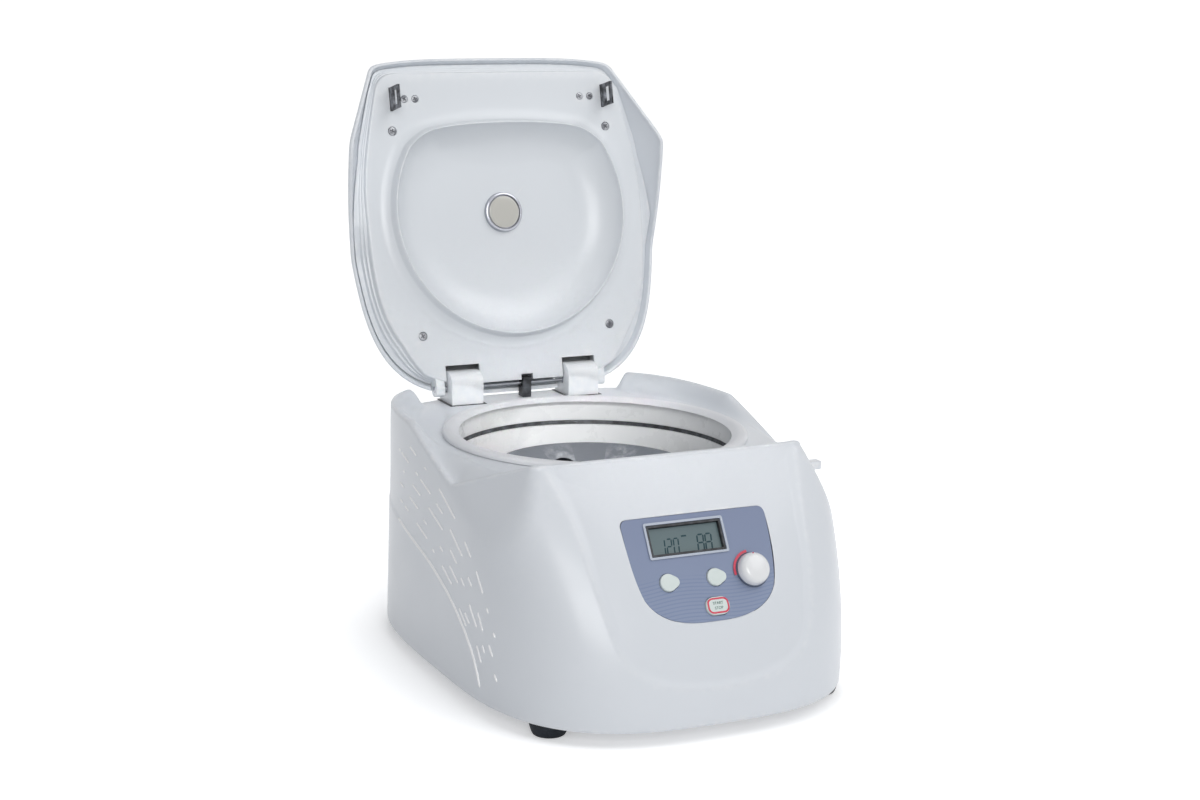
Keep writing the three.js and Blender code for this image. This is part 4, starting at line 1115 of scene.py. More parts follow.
def aluminium_finish():
    """Satin machined aluminium."""
    return finish(
        "satin_aluminium", shade(0x84888F), 0.42, metallic=1.0, depth=0.006, tone=0.12, lines=True,
        wear_and_highlight=(shade(0xB6B9BE), 0.05), dust=0.04,
    )


def black_plastic_finish():
    """Black moulded plastic with a fine texture."""
    return finish(
        "black_plastic", shade(0x1B1D21), 0.5, grain=1600.0, depth=0.03, tone=0.25,
        wear_and_highlight=(shade(0x4A4D52), 0.05), dust=0.1,
    )


def rubber_finish():
    """Matt blue-black rubber."""
    return finish(
        "foot_rubber", tuple(colours().rubber), 0.72, grain=2200.0, depth=0.04, tone=0.3,
        wear_and_highlight=(shade(0x3A4049), 0.05), dust=0.25, specular=0.35,
    )


def board_finish():
    """Green solder mask over its glass cloth."""
    return finish(
        "solder_mask", shade(0x1F5B36), 0.38, coat=0.4, grain=2600.0, depth=0.02, tone=0.35,
    )


def copper_finish():
    """Varnished winding wire and tinned parts."""
    return finish("varnished_copper", shade(0x9A5B34), 0.4, metallic=1.0, tone=0.3, lines=True)


# ---------------------------------------------------------------- housing


def spread_angles(count):
    """Directions round the housing, closer together across its front."""
    fine = np.linspace(-math.pi, math.pi, 4001)
    density = 1 + 1.3 * np.exp(-(((fine + math.pi / 2) / 0.7) ** 2))
    total = np.concatenate([[0], np.cumsum((density[1:] + density[:-1]) / 2)])
    return np.interp(np.arange(count) * total[-1] / count, total, fine)


def grid_points(rows, cosine, sine):
    """Points of a closed grid from its rows of (radius, height), one column for each angle."""
    radius = np.array([row[0] for row in rows]).T
    height = np.array([row[1] for row in rows]).T
    return np.stack([radius * cosine[:, None], radius * sine[:, None], height], -1)


def rim_height(x, y):
    """Height of the housing's upper edge, lowered between the hinge corners."""
    run = smoothstep(*HINGE_RUN_X, np.abs(x)) * smoothstep(*HINGE_RUN_Y, y)
    return edge_height(y) * (1 - run) + DECK_Z * run


def housing_solid(columns, edge_round):
    """Skin, rounded rim, sloping deck, bowl hole and inner wall, as one closed grid."""
    angles = spread_angles(columns)
    cosine, sine = np.cos(angles), np.sin(angles)
    outer, inner = skin_table(angles, 0.0), skin_table(angles, WALL)
    rim = np.full(columns, CREST_HEIGHT)
    for _ in range(30):
        reach = skin_radius(outer, rim)
        rim += 0.5 * (rim_height(reach * cosine, reach * sine) - rim)
    pocket = polar(liner_outline(DECK_MARGIN), angles)
    foot = skin_radius(outer, np.full(columns, FOOT_HEIGHT))
    rows = [
        (foot - 1.4, np.full(columns, FOOT_HEIGHT)),
        (foot - 0.5, np.full(columns, FOOT_HEIGHT + 0.35)),
    ]
    start, top = FOOT_HEIGHT + 1.4, rim - edge_round
    for share in np.linspace(0, 1, 98):
        height = start + (top - start) * share
        rows.append((skin_radius(outer, height), height))
    shoulder = rows[-1][0]
    for turn in (22.5, 45, 67.5, 90):
        turn = math.radians(turn)
        rows.append((
            shoulder - edge_round * (1 - math.cos(turn)), top + edge_round * math.sin(turn),
        ))
    ledge = rows[-1][0]
    hole = BOWL_RADIUS + BOWL_WALL + 2 * GAP

    def top_height(radius):
        slope = smoothstep(pocket - 2, np.maximum(ledge - 1.5, pocket + 5), radius)
        return DECK_Z + (rim - DECK_Z) * slope

    for share in np.linspace(0, 1, 30)[1:]:
        radius = ledge + (hole + 0.7 - ledge) * share
        rows.append((radius, top_height(radius)))
    rows.append((np.full(columns, hole), np.full(columns, DECK_Z - 0.7)))
    skin_rows = len(rows)
    rows.append((np.full(columns, hole), np.full(columns, DECK_Z - WALL)))
    inner_top = skin_radius(inner, rim - WALL - 1)
    for share in np.linspace(0, 1, 12)[1:]:
        radius = hole + (ledge - hole) * share
        under = hole + (inner_top - hole) * share
        rows.append((under, top_height(radius) - WALL))
    low = rows[-1][1]
    for share in np.linspace(0, 1, 12)[1:]:
        height = low + (FOOT_HEIGHT - low) * share
        rows.append((skin_radius(inner, height), height))
    points = grid_points(rows, cosine, sine)
    shown = points[:, :skin_rows].reshape(-1, 3)
    points[:, :skin_rows] = relieved(shown).reshape(columns, skin_rows, 3)
    return points.reshape(-1, 3), wrapped(columns, len(rows))


# Raised marks of each side: start (y, z) and length, running forwards and down.
SIDE_MARKS = (
    (55, 153, 3), (49, 152, 18), (29, 161, 15), (45, 139, 4), (16, 145, 6), (-2, 153, 5),
    (6, 142, 22), (23, 134, 18), (53, 128, 9), (53, 115, 6), (41, 113, 9), (30, 123, 20),
    (-31, 144, 34), (-11, 125, 29), (-26, 132, 13), (14, 107, 23), (0, 113, 7), (-52, 120, 27),
    (-79, 118, 14), (-52, 105, 15), (-18, 96, 5), (-32, 102, 7), (-37, 89, 21), (-51, 93, 18),
    (-72, 90, 8), (-85, 94, 8), (-98, 102, 17), (-70, 67, 16), (-80, 67, 10), (-87, 75, 18),
    (-101, 73, 14), (-114, 80, 4), (-123, 65, 4), (-100, 49, 13), (-109, 52, 6), (-118, 55, 9),
    (-125, 36, 6),
)
# Slope of the marks at places along y.
MARK_SLOPES = ((-118, -100, -85, -55, -14, 56), (1.5, 1.2, 0.8, 0.5, 0.3, 0.2))
# Section of a mark: across it as a share of its half width, and out of the skin in millimetres.
MARK_SECTION = (
    (-1.0, -0.35), (-1.0, 0.1), (-0.75, 0.5), (-0.3, 0.72),
    (0.3, 0.72), (0.75, 0.5), (1.0, 0.1), (1.0, -0.35),
)


def side_points(y, z, side):
    """Points of the housing's side at (y, z) pairs, and the skin's outward directions there."""
    turns = np.linspace(math.pi / 2, 3 * math.pi / 2, 500)
    points, outward = [], []
    for along, height in zip(y, z):
        radius = body_radius(turns, height)
        ring_x, ring_y = radius * np.cos(turns), MIDDLE_Y + radius * np.sin(turns)
        order = np.argsort(ring_y)
        x = [np.interp(along + step, ring_y[order], ring_x[order]) for step in (-1, 0, 1)]
        points.append((x[1], along, height))
        direction = np.array([-2.0, x[2] - x[0], 0.0])
        outward.append(direction / np.linalg.norm(direction))
    points, outward = relieved(np.array(points)), np.array(outward)
    flip = np.array([-side, 1, 1])
    return points * flip, outward * flip


def mark_solid(start_y, start_z, length, half_width, side):
    """One raised mark: a short rounded bar laid along the housing's side."""
    slope = np.interp(start_y - length / 2, *MARK_SLOPES)
    direction = np.array([-1, -slope]) / math.hypot(1, slope)
    across = np.array([-direction[1], direction[0]])
    stations = np.linspace(0, length, max(6, int(length)))
    line = np.array([start_y, start_z]) + direction * stations[:, None]
    return laid_ribbon(line, across, stations, half_width, side)


def laid_ribbon(line, across, stations, half_width, side):
    """A rounded bead along (y, z) points of the housing's side, tapered at both ends."""
    count = len(line)
    from_end = np.minimum(stations, stations[-1] - stations)
    taper = np.sqrt(np.clip(1 - (1 - from_end / half_width) ** 2, 0.05, 1))
    taper = np.where(from_end > half_width, 1, taper)
    rows = []
    for middle, share, aside in zip(line, taper, np.broadcast_to(across, line.shape)):
        rows.append([(*(middle + aside * u * half_width * share), v * (share if v > 0 else 1))
                     for u, v in MARK_SECTION])
    rows = np.array(rows).reshape(-1, 3)
    points, outward = side_points(rows[:, 0], rows[:, 1], side)
    points = points + outward * rows[:, 2:]
    width = len(MARK_SECTION)
    faces = []
    for row in range(count - 1):
        for i in range(width):
            a, b = row * width + i, row * width + (i + 1) % width
            faces.append((a, b, b + width, a + width))
    last = (count - 1) * width
    faces += [tuple(range(width))[::-1], tuple(range(last, last + width))]
    if side > 0:
        faces = [face[::-1] for face in faces]
    return points, faces


def crease_solid(half_width, side):
    """The fine raised line that runs along the crease of the housing's side."""
    line = filleted(CREASE[1:-1][::-1], 12, 5, closed=False)
    run = np.concatenate([[0], np.cumsum(np.hypot(*np.diff(line, axis=0).T))])
    stations = np.arange(0, run[-1], 1.5)
    line = np.stack([np.interp(stations, run, line[:, i]) for i in (0, 1)], 1)
    along = np.gradient(line, axis=0)
    along /= np.linalg.norm(along, axis=1)[:, None]
    across = np.stack([-along[:, 1], along[:, 0]], 1)
    return laid_ribbon(line, across, stations, half_width, side)


class CENTRIFUGE_OT_housing(bpy.types.Operator):
    """Moulded housing with its front shield, side creases, openings and raised side marks"""

    bl_idname = "centrifuge.housing"
    bl_label = "Build the housing"

    def execute(self, context):
        """Makes the housing grid, cuts its openings and lays the side marks."""
        solid = housing_solid(sizes().columns, sizes().edge_round / MM)
        made = mesh_object("housing_moulding", solid)
        openings = [
            block((x - width / 2 - GAP, REAR_Y - 12, FITTING_Z - height / 2 - GAP),
                  (x + width / 2 + GAP, REAR_Y + 12, FITTING_Z + height / 2 + GAP))
            for x, width, height in FITTINGS
        ]
        for side, _ in SIDES:
            width, length = 2 * STRIKER_THICKNESS + 1.2, STRIKER_LENGTH + 7
            slot = rounded_rectangle(side * STRIKER_X, STRIKER_Y, width, length, 2.2)
            openings.append(prism(slot, DECK_Z - WALL - 6, DECK_Z + 8))
        deep, high = BAR_DEPTH / 2 + SLIDE_GAP, BAR_HEIGHT / 2 + SLIDE_GAP
        openings.append(block(
            (BAR_RIGHT - 10, BAR_Y - deep, BAR_Z - high),
            (BAR_RIGHT + 40, BAR_Y + deep, BAR_Z + high),
        ))
        openings.append(moved(prism(overlay_outline(GAP), -OVERLAY_THICKNESS - GAP, 30), on_panel))
        windows = [
            rounded_rectangle(LCD_X, LCD_UP, LCD_WIDTH, LCD_HEIGHT, 0.5),
            circle(KNOB_X, KNOB_UP, 6),
            *(key_outline(key, 1.0) for key in KEYS),
        ]
        through = joined(*(moved(prism(window, -14, -1), on_panel) for window in windows))
        carved(made, joined(*openings), through)
        finished(made, "base", housing_finish(), ("housing",), 30)
        half_width = sizes().mark_width / MM / 2
        for side, name in SIDES:
            marks = joined(
                *(mark_solid(*mark, half_width, side) for mark in SIDE_MARKS),
                crease_solid(half_width * 0.9, side),
            )
            # The side marks and the crease line are coloured whiter than the housing: a painted
            # highlight.
            piece(f"side_marks_{name}", marks, "base", mark_highlight_finish())
        return {"FINISHED"}


def mark_highlight_finish():
    """The housing's moulding, painted whiter and glossier on the proud marks and the crease line: a
    painted highlight for the light they catch.
    """
    return finish(
        "mark_painted_highlight", shade(0xFFFFFF), 0.3, coat=0.7, grain=1100.0, depth=0.004, tone=0.01,
    )


# ---------------------------------------------------------------- base, bowl and rotor

FOOT_STEM = 4.0
FOOT_RADIUS = 14.0
BASE_PLATE = 2.5


def foot_solid(x, y):
    """A turned rubber foot with a recessed sole and a stem through the base plate."""
    top = FOOT_HEIGHT - GAP
    return turned(filleted([
        (0, 1.2), (FOOT_RADIUS - 6, 1.2), (FOOT_RADIUS - 5, 0), (FOOT_RADIUS - 3, 0),
        (FOOT_RADIUS - 1.7, 2.2), (FOOT_RADIUS, top - 1.6), (FOOT_RADIUS, top),
        (FOOT_STEM, top), (FOOT_STEM, top + BASE_PLATE + 1),
        (FOOT_STEM - 1, top + BASE_PLATE + 2), (0, top + BASE_PLATE + 2),
    ], (0, 0.6, 0.6, 1.2, 1.6, 1.2, 1, 0.3, 0.5, 0.6, 0), closed=False), 64, x, y)


class CENTRIFUGE_OT_base(bpy.types.Operator):
    """Base plate, its screws and the four rubber feet"""

    bl_idname = "centrifuge.base"
    bl_label = "Build the base"

    def execute(self, context):
        """Turns the feet where the CAD feet are, and dresses the plate and screws."""
        for node in ("foot_front_left", "foot_front_right", "foot_rear_left", "foot_rear_right"):
            place = (middle_of(node) - SPINDLE_M) / MM
            piece(node + "_rubber", foot_solid(place.x, place.y), "base", rubber_finish(),
                  (node,))
        dressed(["base_plate"], steel_finish(), 0.3)
        dressed([f"base_screw_{i}" for i in range(1, 5)], steel_finish(), 0.2)
        return {"FINISHED"}


class CENTRIFUGE_OT_bowl(bpy.types.Operator):
    """Bowl with a black ring of painted shade in its slit, and the soft seal round it"""

    bl_idname = "centrifuge.bowl"
    bl_label = "Build the bowl"

    def execute(self, context):
        """Turns the bowl, the black ring of painted shade in its slit, and the seal."""
        outer, flange = BOWL_RADIUS + BOWL_WALL, DECK_Z + GAP
        profile = [
            (16, BOWL_FLOOR_Z - BOWL_WALL), (BOWL_RADIUS - 14, BOWL_FLOOR_Z - BOWL_WALL),
            (outer - 4, BOWL_FLOOR_Z + 6), (outer, BOWL_FLOOR_Z + 18), (outer, flange),
            (BOWL_FLANGE, flange), (BOWL_FLANGE, flange + BOWL_WALL),
            (BOWL_RADIUS, flange + BOWL_WALL), (BOWL_RADIUS, SLIT_Z + 1.7),
            (BOWL_RADIUS + 0.8, SLIT_Z + 1.2), (BOWL_RADIUS + 0.8, SLIT_Z - 1.4),
            (BOWL_RADIUS - 1, SLIT_Z - 1.8), (BOWL_RADIUS - 1, BOWL_FLOOR_Z + 18),
            (BOWL_RADIUS - 5, BOWL_FLOOR_Z + 7), (BOWL_RADIUS - 15, BOWL_FLOOR_Z),
            (24, BOWL_FLOOR_Z), (19, BOWL_FLOOR_Z + 3), (16, BOWL_FLOOR_Z + 3),
        ]
        radii = (0.3, 4, 4, 6, 0.4, 0.3, 0.4, 0.8, 0.5, 0.1, 0.1, 0.5, 6, 5, 6, 3, 2, 0.5)
        lining = finish(
            "bowl_lining", tuple(colours().bowl), 0.28, coat=0.35, grain=700.0, depth=0.01,
            tone=0.03, wear_and_highlight=(shade(0xEEF0F1), 0.06),
        )
        piece("bowl_lining", turned(filleted(profile, radii), 180), "base", lining,
              ("bowl",), 30)
        # A black ring in the shallow slit of the bowl's wall: painted shade.
        groove = [
            (BOWL_RADIUS - 0.85, SLIT_Z - 1.35), (BOWL_RADIUS + 0.7, SLIT_Z - 1.35),
            (BOWL_RADIUS + 0.7, SLIT_Z + 1.45), (BOWL_RADIUS + 0.1, SLIT_Z + 1.45),
        ]
        piece("bowl_slit_painted_shade", turned(groove, 180), "base", black_plastic_finish())
        over = flange + BOWL_WALL + GAP
        soft = finish(
            "seal_rubber", tuple(colours().seal), 0.46, grain=1500.0, depth=0.02, tone=0.04,
            wear_and_highlight=(shade(0xEDEDEE), 0.06), dust=0.05,
        )
        section = filleted([
            (BOWL_FLANGE + GAP, flange), (SEAL_OUTER, flange), (SEAL_OUTER + 0.1, SEAL_TOP - 2),
            (SEAL_OUTER - 2.2, SEAL_TOP), (SEAL_OUTER - 6.5, SEAL_TOP - 0.1),
            (SEAL_INNER + 2.4, SEAL_LIP + 1.1), (SEAL_INNER, SEAL_LIP - 0.2),
            (SEAL_INNER + 1, over - 0.2), (BOWL_RADIUS - 2, over), (BOWL_FLANGE + GAP, over),
        ], (0.2, 0.4, 1.6, 2, 3, 2.4, 0.5, 0.4, 0.4, 0.3), steps=6)
        piece("bowl_seal_ring", turned(section, 220), "base", soft, ("bowl_seal",), 50)
        return {"FINISHED"}


class CENTRIFUGE_OT_rotor(bpy.types.Operator):
    """Angle rotor with its tube holes, its nut, and the drive under it"""

    bl_idname = "centrifuge.rotor"
    bl_label = "Build the rotor"

    tubes: IntProperty(
        name="Tube holes", description="Places in the rotor", default=8, min=4, max=12
    )

    def execute(self, context):
        """Turns the rotor and nut, and bores the tube holes."""
        inner = SHAFT_RADIUS + SLIDE_GAP
        profile = filleted([
            (inner, ROTOR_BASE + 6), (22, ROTOR_BASE + 6), (30, ROTOR_BASE),
            (ROTOR_SKIRT - 4, ROTOR_BASE), (ROTOR_SKIRT, ROTOR_BASE + 4),
            (ROTOR_RIM, ROTOR_TOP - 3), (ROTOR_RIM - 3, ROTOR_TOP), (ROTOR_RIM - 6, ROTOR_TOP),
            (HUB_RADIUS, HUB_TOP), (14, HUB_TOP), (inner, HUB_TOP),
        ], (0.3, 2, 2, 1.5, 1.5, 1.5, 1.2, 1.2, 4, 0.3, 0.3))
        made = mesh_object("rotor_turned", turned(profile, 160))
        slope = (ROTOR_TOP - HUB_TOP) / (ROTOR_RIM - 6 - HUB_RADIUS)
        mouth = HUB_TOP + (TUBE_CIRCLE - HUB_RADIUS) * slope
        bores = []
        sine, cosine = math.sin(math.radians(TUBE_TILT)), math.cos(math.radians(TUBE_TILT))
        drill = filleted([
            (0, -46), (5, -45), (TUBE_RADIUS - 0.15, -40), (TUBE_RADIUS, -36), (TUBE_RADIUS, 30),
            (0, 30),
        ], (0, 1, 2, 1, 0, 0), closed=False)
        for i in range(self.tubes):
            turn = TAU * i / self.tubes

            def tilted(points, turn=turn):
                x = points[:, 0] * cosine - points[:, 2] * sine + TUBE_CIRCLE
                z = points[:, 0] * sine + points[:, 2] * cosine + mouth
                y = points[:, 1]
                return np.stack([
                    x * math.cos(turn) - y * math.sin(turn),
                    x * math.sin(turn) + y * math.cos(turn), z,
                ], 1)

            bores.append(moved(turned(drill, 48), tilted))
        carved(made, joined(*bores))
        finished(made, "rotor", aluminium_finish(), ("rotor",), 35)
        seat, top, thread_top = HUB_TOP + 1 + GAP, ROTOR_TOP - 3, ROTOR_TOP - 8 + GAP
        nut = mesh_object("rotor_nut_turned", turned(filleted([
            (0, thread_top), (4 + GAP, thread_top), (4 + GAP, seat), (NUT_RADIUS, seat),
            (NUT_RADIUS, seat + 2), (NUT_RADIUS - 2, seat + 4), (NUT_RADIUS - 2, top),
            (NUT_RADIUS - 4, top + 2), (0, top + 2),
        ], (0, 0.3, 0.3, 0.4, 0.5, 0.5, 0.8, 0.8, 0), closed=False), 72))
        grips = circle(0, 0, NUT_RADIUS, 6)
        carved(nut, joined(*(prism(circle(x, y, 3, 20), seat + 3, top + 20) for x, y in grips)))
        finished(nut, "rotor", black_plastic_finish(), ("rotor_nut",), 40)
        dressed(["motor_shaft"], steel_finish(), 0.2)
        dressed(["motor_body"], black_plastic_finish(), 0.6)
        dressed(["motor_plate"], steel_finish(), 0.3)
        dressed([f"motor_damper_{i}" for i in range(1, 4)], rubber_finish())
        return {"FINISHED"}


# ---------------------------------------------------------------- lid


def lid_ring(turns, inset):
    """Plan of the lid's skin at the parting edge, drawn in to the rear, and the edge's height."""
    height = np.full(len(turns), CREST_HEIGHT)
    for _ in range(30):
        radius = body_radius(turns, height, inset, LID_REAR_REACH)
        height += 0.5 * (edge_height(MIDDLE_Y + radius * np.sin(turns)) - height)
    y = MIDDLE_Y + radius * np.sin(turns)
    return radius * np.cos(turns) * (1 - LID_TUCK * smoothstep(-50, 70, y)), y, height


def lid_solid(columns=400, rows=34):
    """The lid's dome as one closed form: inner surface, rounded rim and outer surface."""
    turns = np.arange(columns) * TAU / columns
    outer, inner = lid_ring(turns, LID_GAP), lid_ring(turns, LID_GAP + LID_WALL)
    rings = []

    def surface(ring, apex, share):
        x, y, edge = ring
        turn = math.pi / 2 * share * 0.985
        scale, rise = math.cos(turn), math.sin(turn) ** (4 / 3)
        low = edge + LID_GAP + 1.2
        return np.stack([
            x * scale, LID_CENTRE_Y + (y - LID_CENTRE_Y) * scale, low + (apex - low) * rise,
        ], 1)

    shares = np.linspace(0, 1, rows) ** 1.15
    inner_apex = LID_APEX - LID_GAP - LID_WALL
    for share in shares[::-1]:
        rings.append(surface(inner, inner_apex, share))
    first, last = rings[-1], surface(outer, LID_APEX - LID_GAP, 0)
    for share in (0.12, 0.3, 0.5, 0.7, 0.88):
        ring = first + (last - first) * share
        ring[:, 2] -= 1.2 * math.sin(math.pi * share) ** 0.6
        rings.append(ring)
    for share in shares:
        rings.append(surface(outer, LID_APEX - LID_GAP, share))
    count = len(rings)
    points = np.stack(rings, 1).reshape(-1, 3)
    tips = [(0, LID_CENTRE_Y, inner_apex), (0, LID_CENTRE_Y, LID_APEX - LID_GAP)]
    return np.concatenate([points, tips]), strip(columns, count, len(points), len(points) + 1)


def band_rim(angles):
    """Where the liner's rim band meets the lid's inner wall: distance and height by direction."""
    turns = np.arange(1440) * TAU / 1440
    x, y, edge = lid_ring(turns, LID_GAP + LID_WALL + GAP)
    height = np.maximum(LINER_Z + 4.5, edge + 5.5)
    apex = LID_APEX - LID_GAP - LID_WALL - GAP
    turn = np.arcsin(((height - edge) / (apex - edge)) ** 0.75)
    x, y = x * np.cos(turn), LID_CENTRE_Y + (y - LID_CENTRE_Y) * np.cos(turn)
    return by_direction(x, y, angles, height)


def liner_solid(columns=420):
    """The lid liner: a dished centre with a raised bead, a flat land and a stepped rim band."""
    angles = np.arange(columns) * TAU / columns - math.pi
    cosine, sine = np.cos(angles), np.sin(angles)
    hole = SIGHT_RADIUS + GAP
    dish = polar(dish_outline(0), angles)
    land = polar(liner_outline(0), angles)
    wall, band = band_rim(angles)
    land = np.minimum(land, wall - 3)
    floor = LINER_Z + DISH_DEPTH
    bead = sizes().bead / MM
    rows = []

    def level(radius):
        """Height of the visible face between the hole and the land's edge."""
        fall = DISH_DEPTH + DISH_RIM
        share = np.clip((radius - (dish - DISH_SWEEP)) / DISH_SWEEP, 0, 1) * DISH_ROUND
        curve = (1 - np.sqrt(1 - share**2)) / (1 - math.sqrt(1 - DISH_ROUND**2))
        steep = smoothstep(dish + FLANK[1], dish + FLANK[0], radius)
        soft = np.clip(1 - (radius - dish - FLANK[1]) / SHOULDER_WIDTH, 0, 1) ** 2
        outer = LINER_Z - SHOULDER_DROP * soft - (DISH_RIM - SHOULDER_DROP) * steep
        return np.where(radius > dish + FLANK[0], outer, floor - fall * curve)

    for share in (0, 0.02, 0.2, 0.45, 0.7, 0.9, 1):
        radius = hole + (dish - DISH_SWEEP - 2 - hole) * share
        rows.append((radius, level(radius)))
    for share in np.linspace(0, 1, 26):
        radius = dish - DISH_SWEEP * (1 - share) ** 1.3
        rows.append((radius, level(radius)))
    crest = LINER_Z - DISH_RIM
    for turn in (20, 45, 70, 90, 110, 135, 160):
        turn = math.radians(turn)
        across = FLANK[0] * (1 - math.cos(turn)) / 2
        rows.append((dish + across, crest - bead * math.sin(turn) + 0 * dish))
    for step in (1.8, 2.1, 2.5, 2.9, 3.3, 3.7, 4.1, 4.6, 5.2, 6, 7, 8.5, 10, 12, 15):
        radius = np.minimum(dish + step, land - 2.6)
        rows.append((radius, level(radius)))
    outer_land = rows[-1][0]
    for share in (0.25, 0.5, 0.75):
        radius = outer_land + (land - 2.2 - outer_land) * share
        rows.append((radius, level(radius)))
    for turn in (0, 30, 60, 90):
        turn = math.radians(turn)
        height = LINER_Z + LAND_ROUND * (1 - math.cos(turn)) + 0 * land
        rows.append((land - LAND_ROUND + LAND_ROUND * math.sin(turn), height))
    room = wall - land
    rise = band - LINER_Z - LAND_ROUND
    for across, up in BAND_STEPS:
        rows.append((land + room * across, LINER_Z + LAND_ROUND + rise * up))
    shown = len(rows)
    rows.append((wall, band + 2))
    rows.append((land + room * 0.3, band + 2))
    rows.append((land - 1.6, np.maximum(band + 2, LINER_Z + 5)))
    rows.append((land - 2, LINER_Z + 2.6 + 0 * land))
    for row in range(shown - 16, -1, -3):
        radius, height = rows[row]
        rows.append((radius, np.minimum(height, floor) + 2))
    rows.append((hole + 0 * dish, floor + 2 + 0 * dish))
    points = grid_points(rows, cosine, sine)
    return points.reshape(-1, 3), wrapped(columns, len(rows))


def screw_solid(x, y, head, face):
    """The shown end of a countersunk screw, facing downwards."""
    return turned([
        (0, face + 0.15), (head - 0.9, face + 0.05), (head - 0.35, face + 0.2), (head, face + 0.7),
        (1.5, face + 2.2), (1.5, face + 6), (0, face + 6.5),
    ], 40, x, y)


def cross_recess(x, y, reach, low, high, turn):
    """The two arms of a cutter for a cross recess."""
    arms = []
    for spin in (turn, turn + math.pi / 2):
        along = np.array([math.cos(spin), math.sin(spin)])
        across = np.array([-along[1], along[0]])
        corners = [along * u * reach + across * v * reach * 0.22 + (x, y)
                   for u, v in ((-1, -1), (1, -1), (1, 1), (-1, 1))]
        arms.append(prism(np.array(corners), low, high))
    return arms


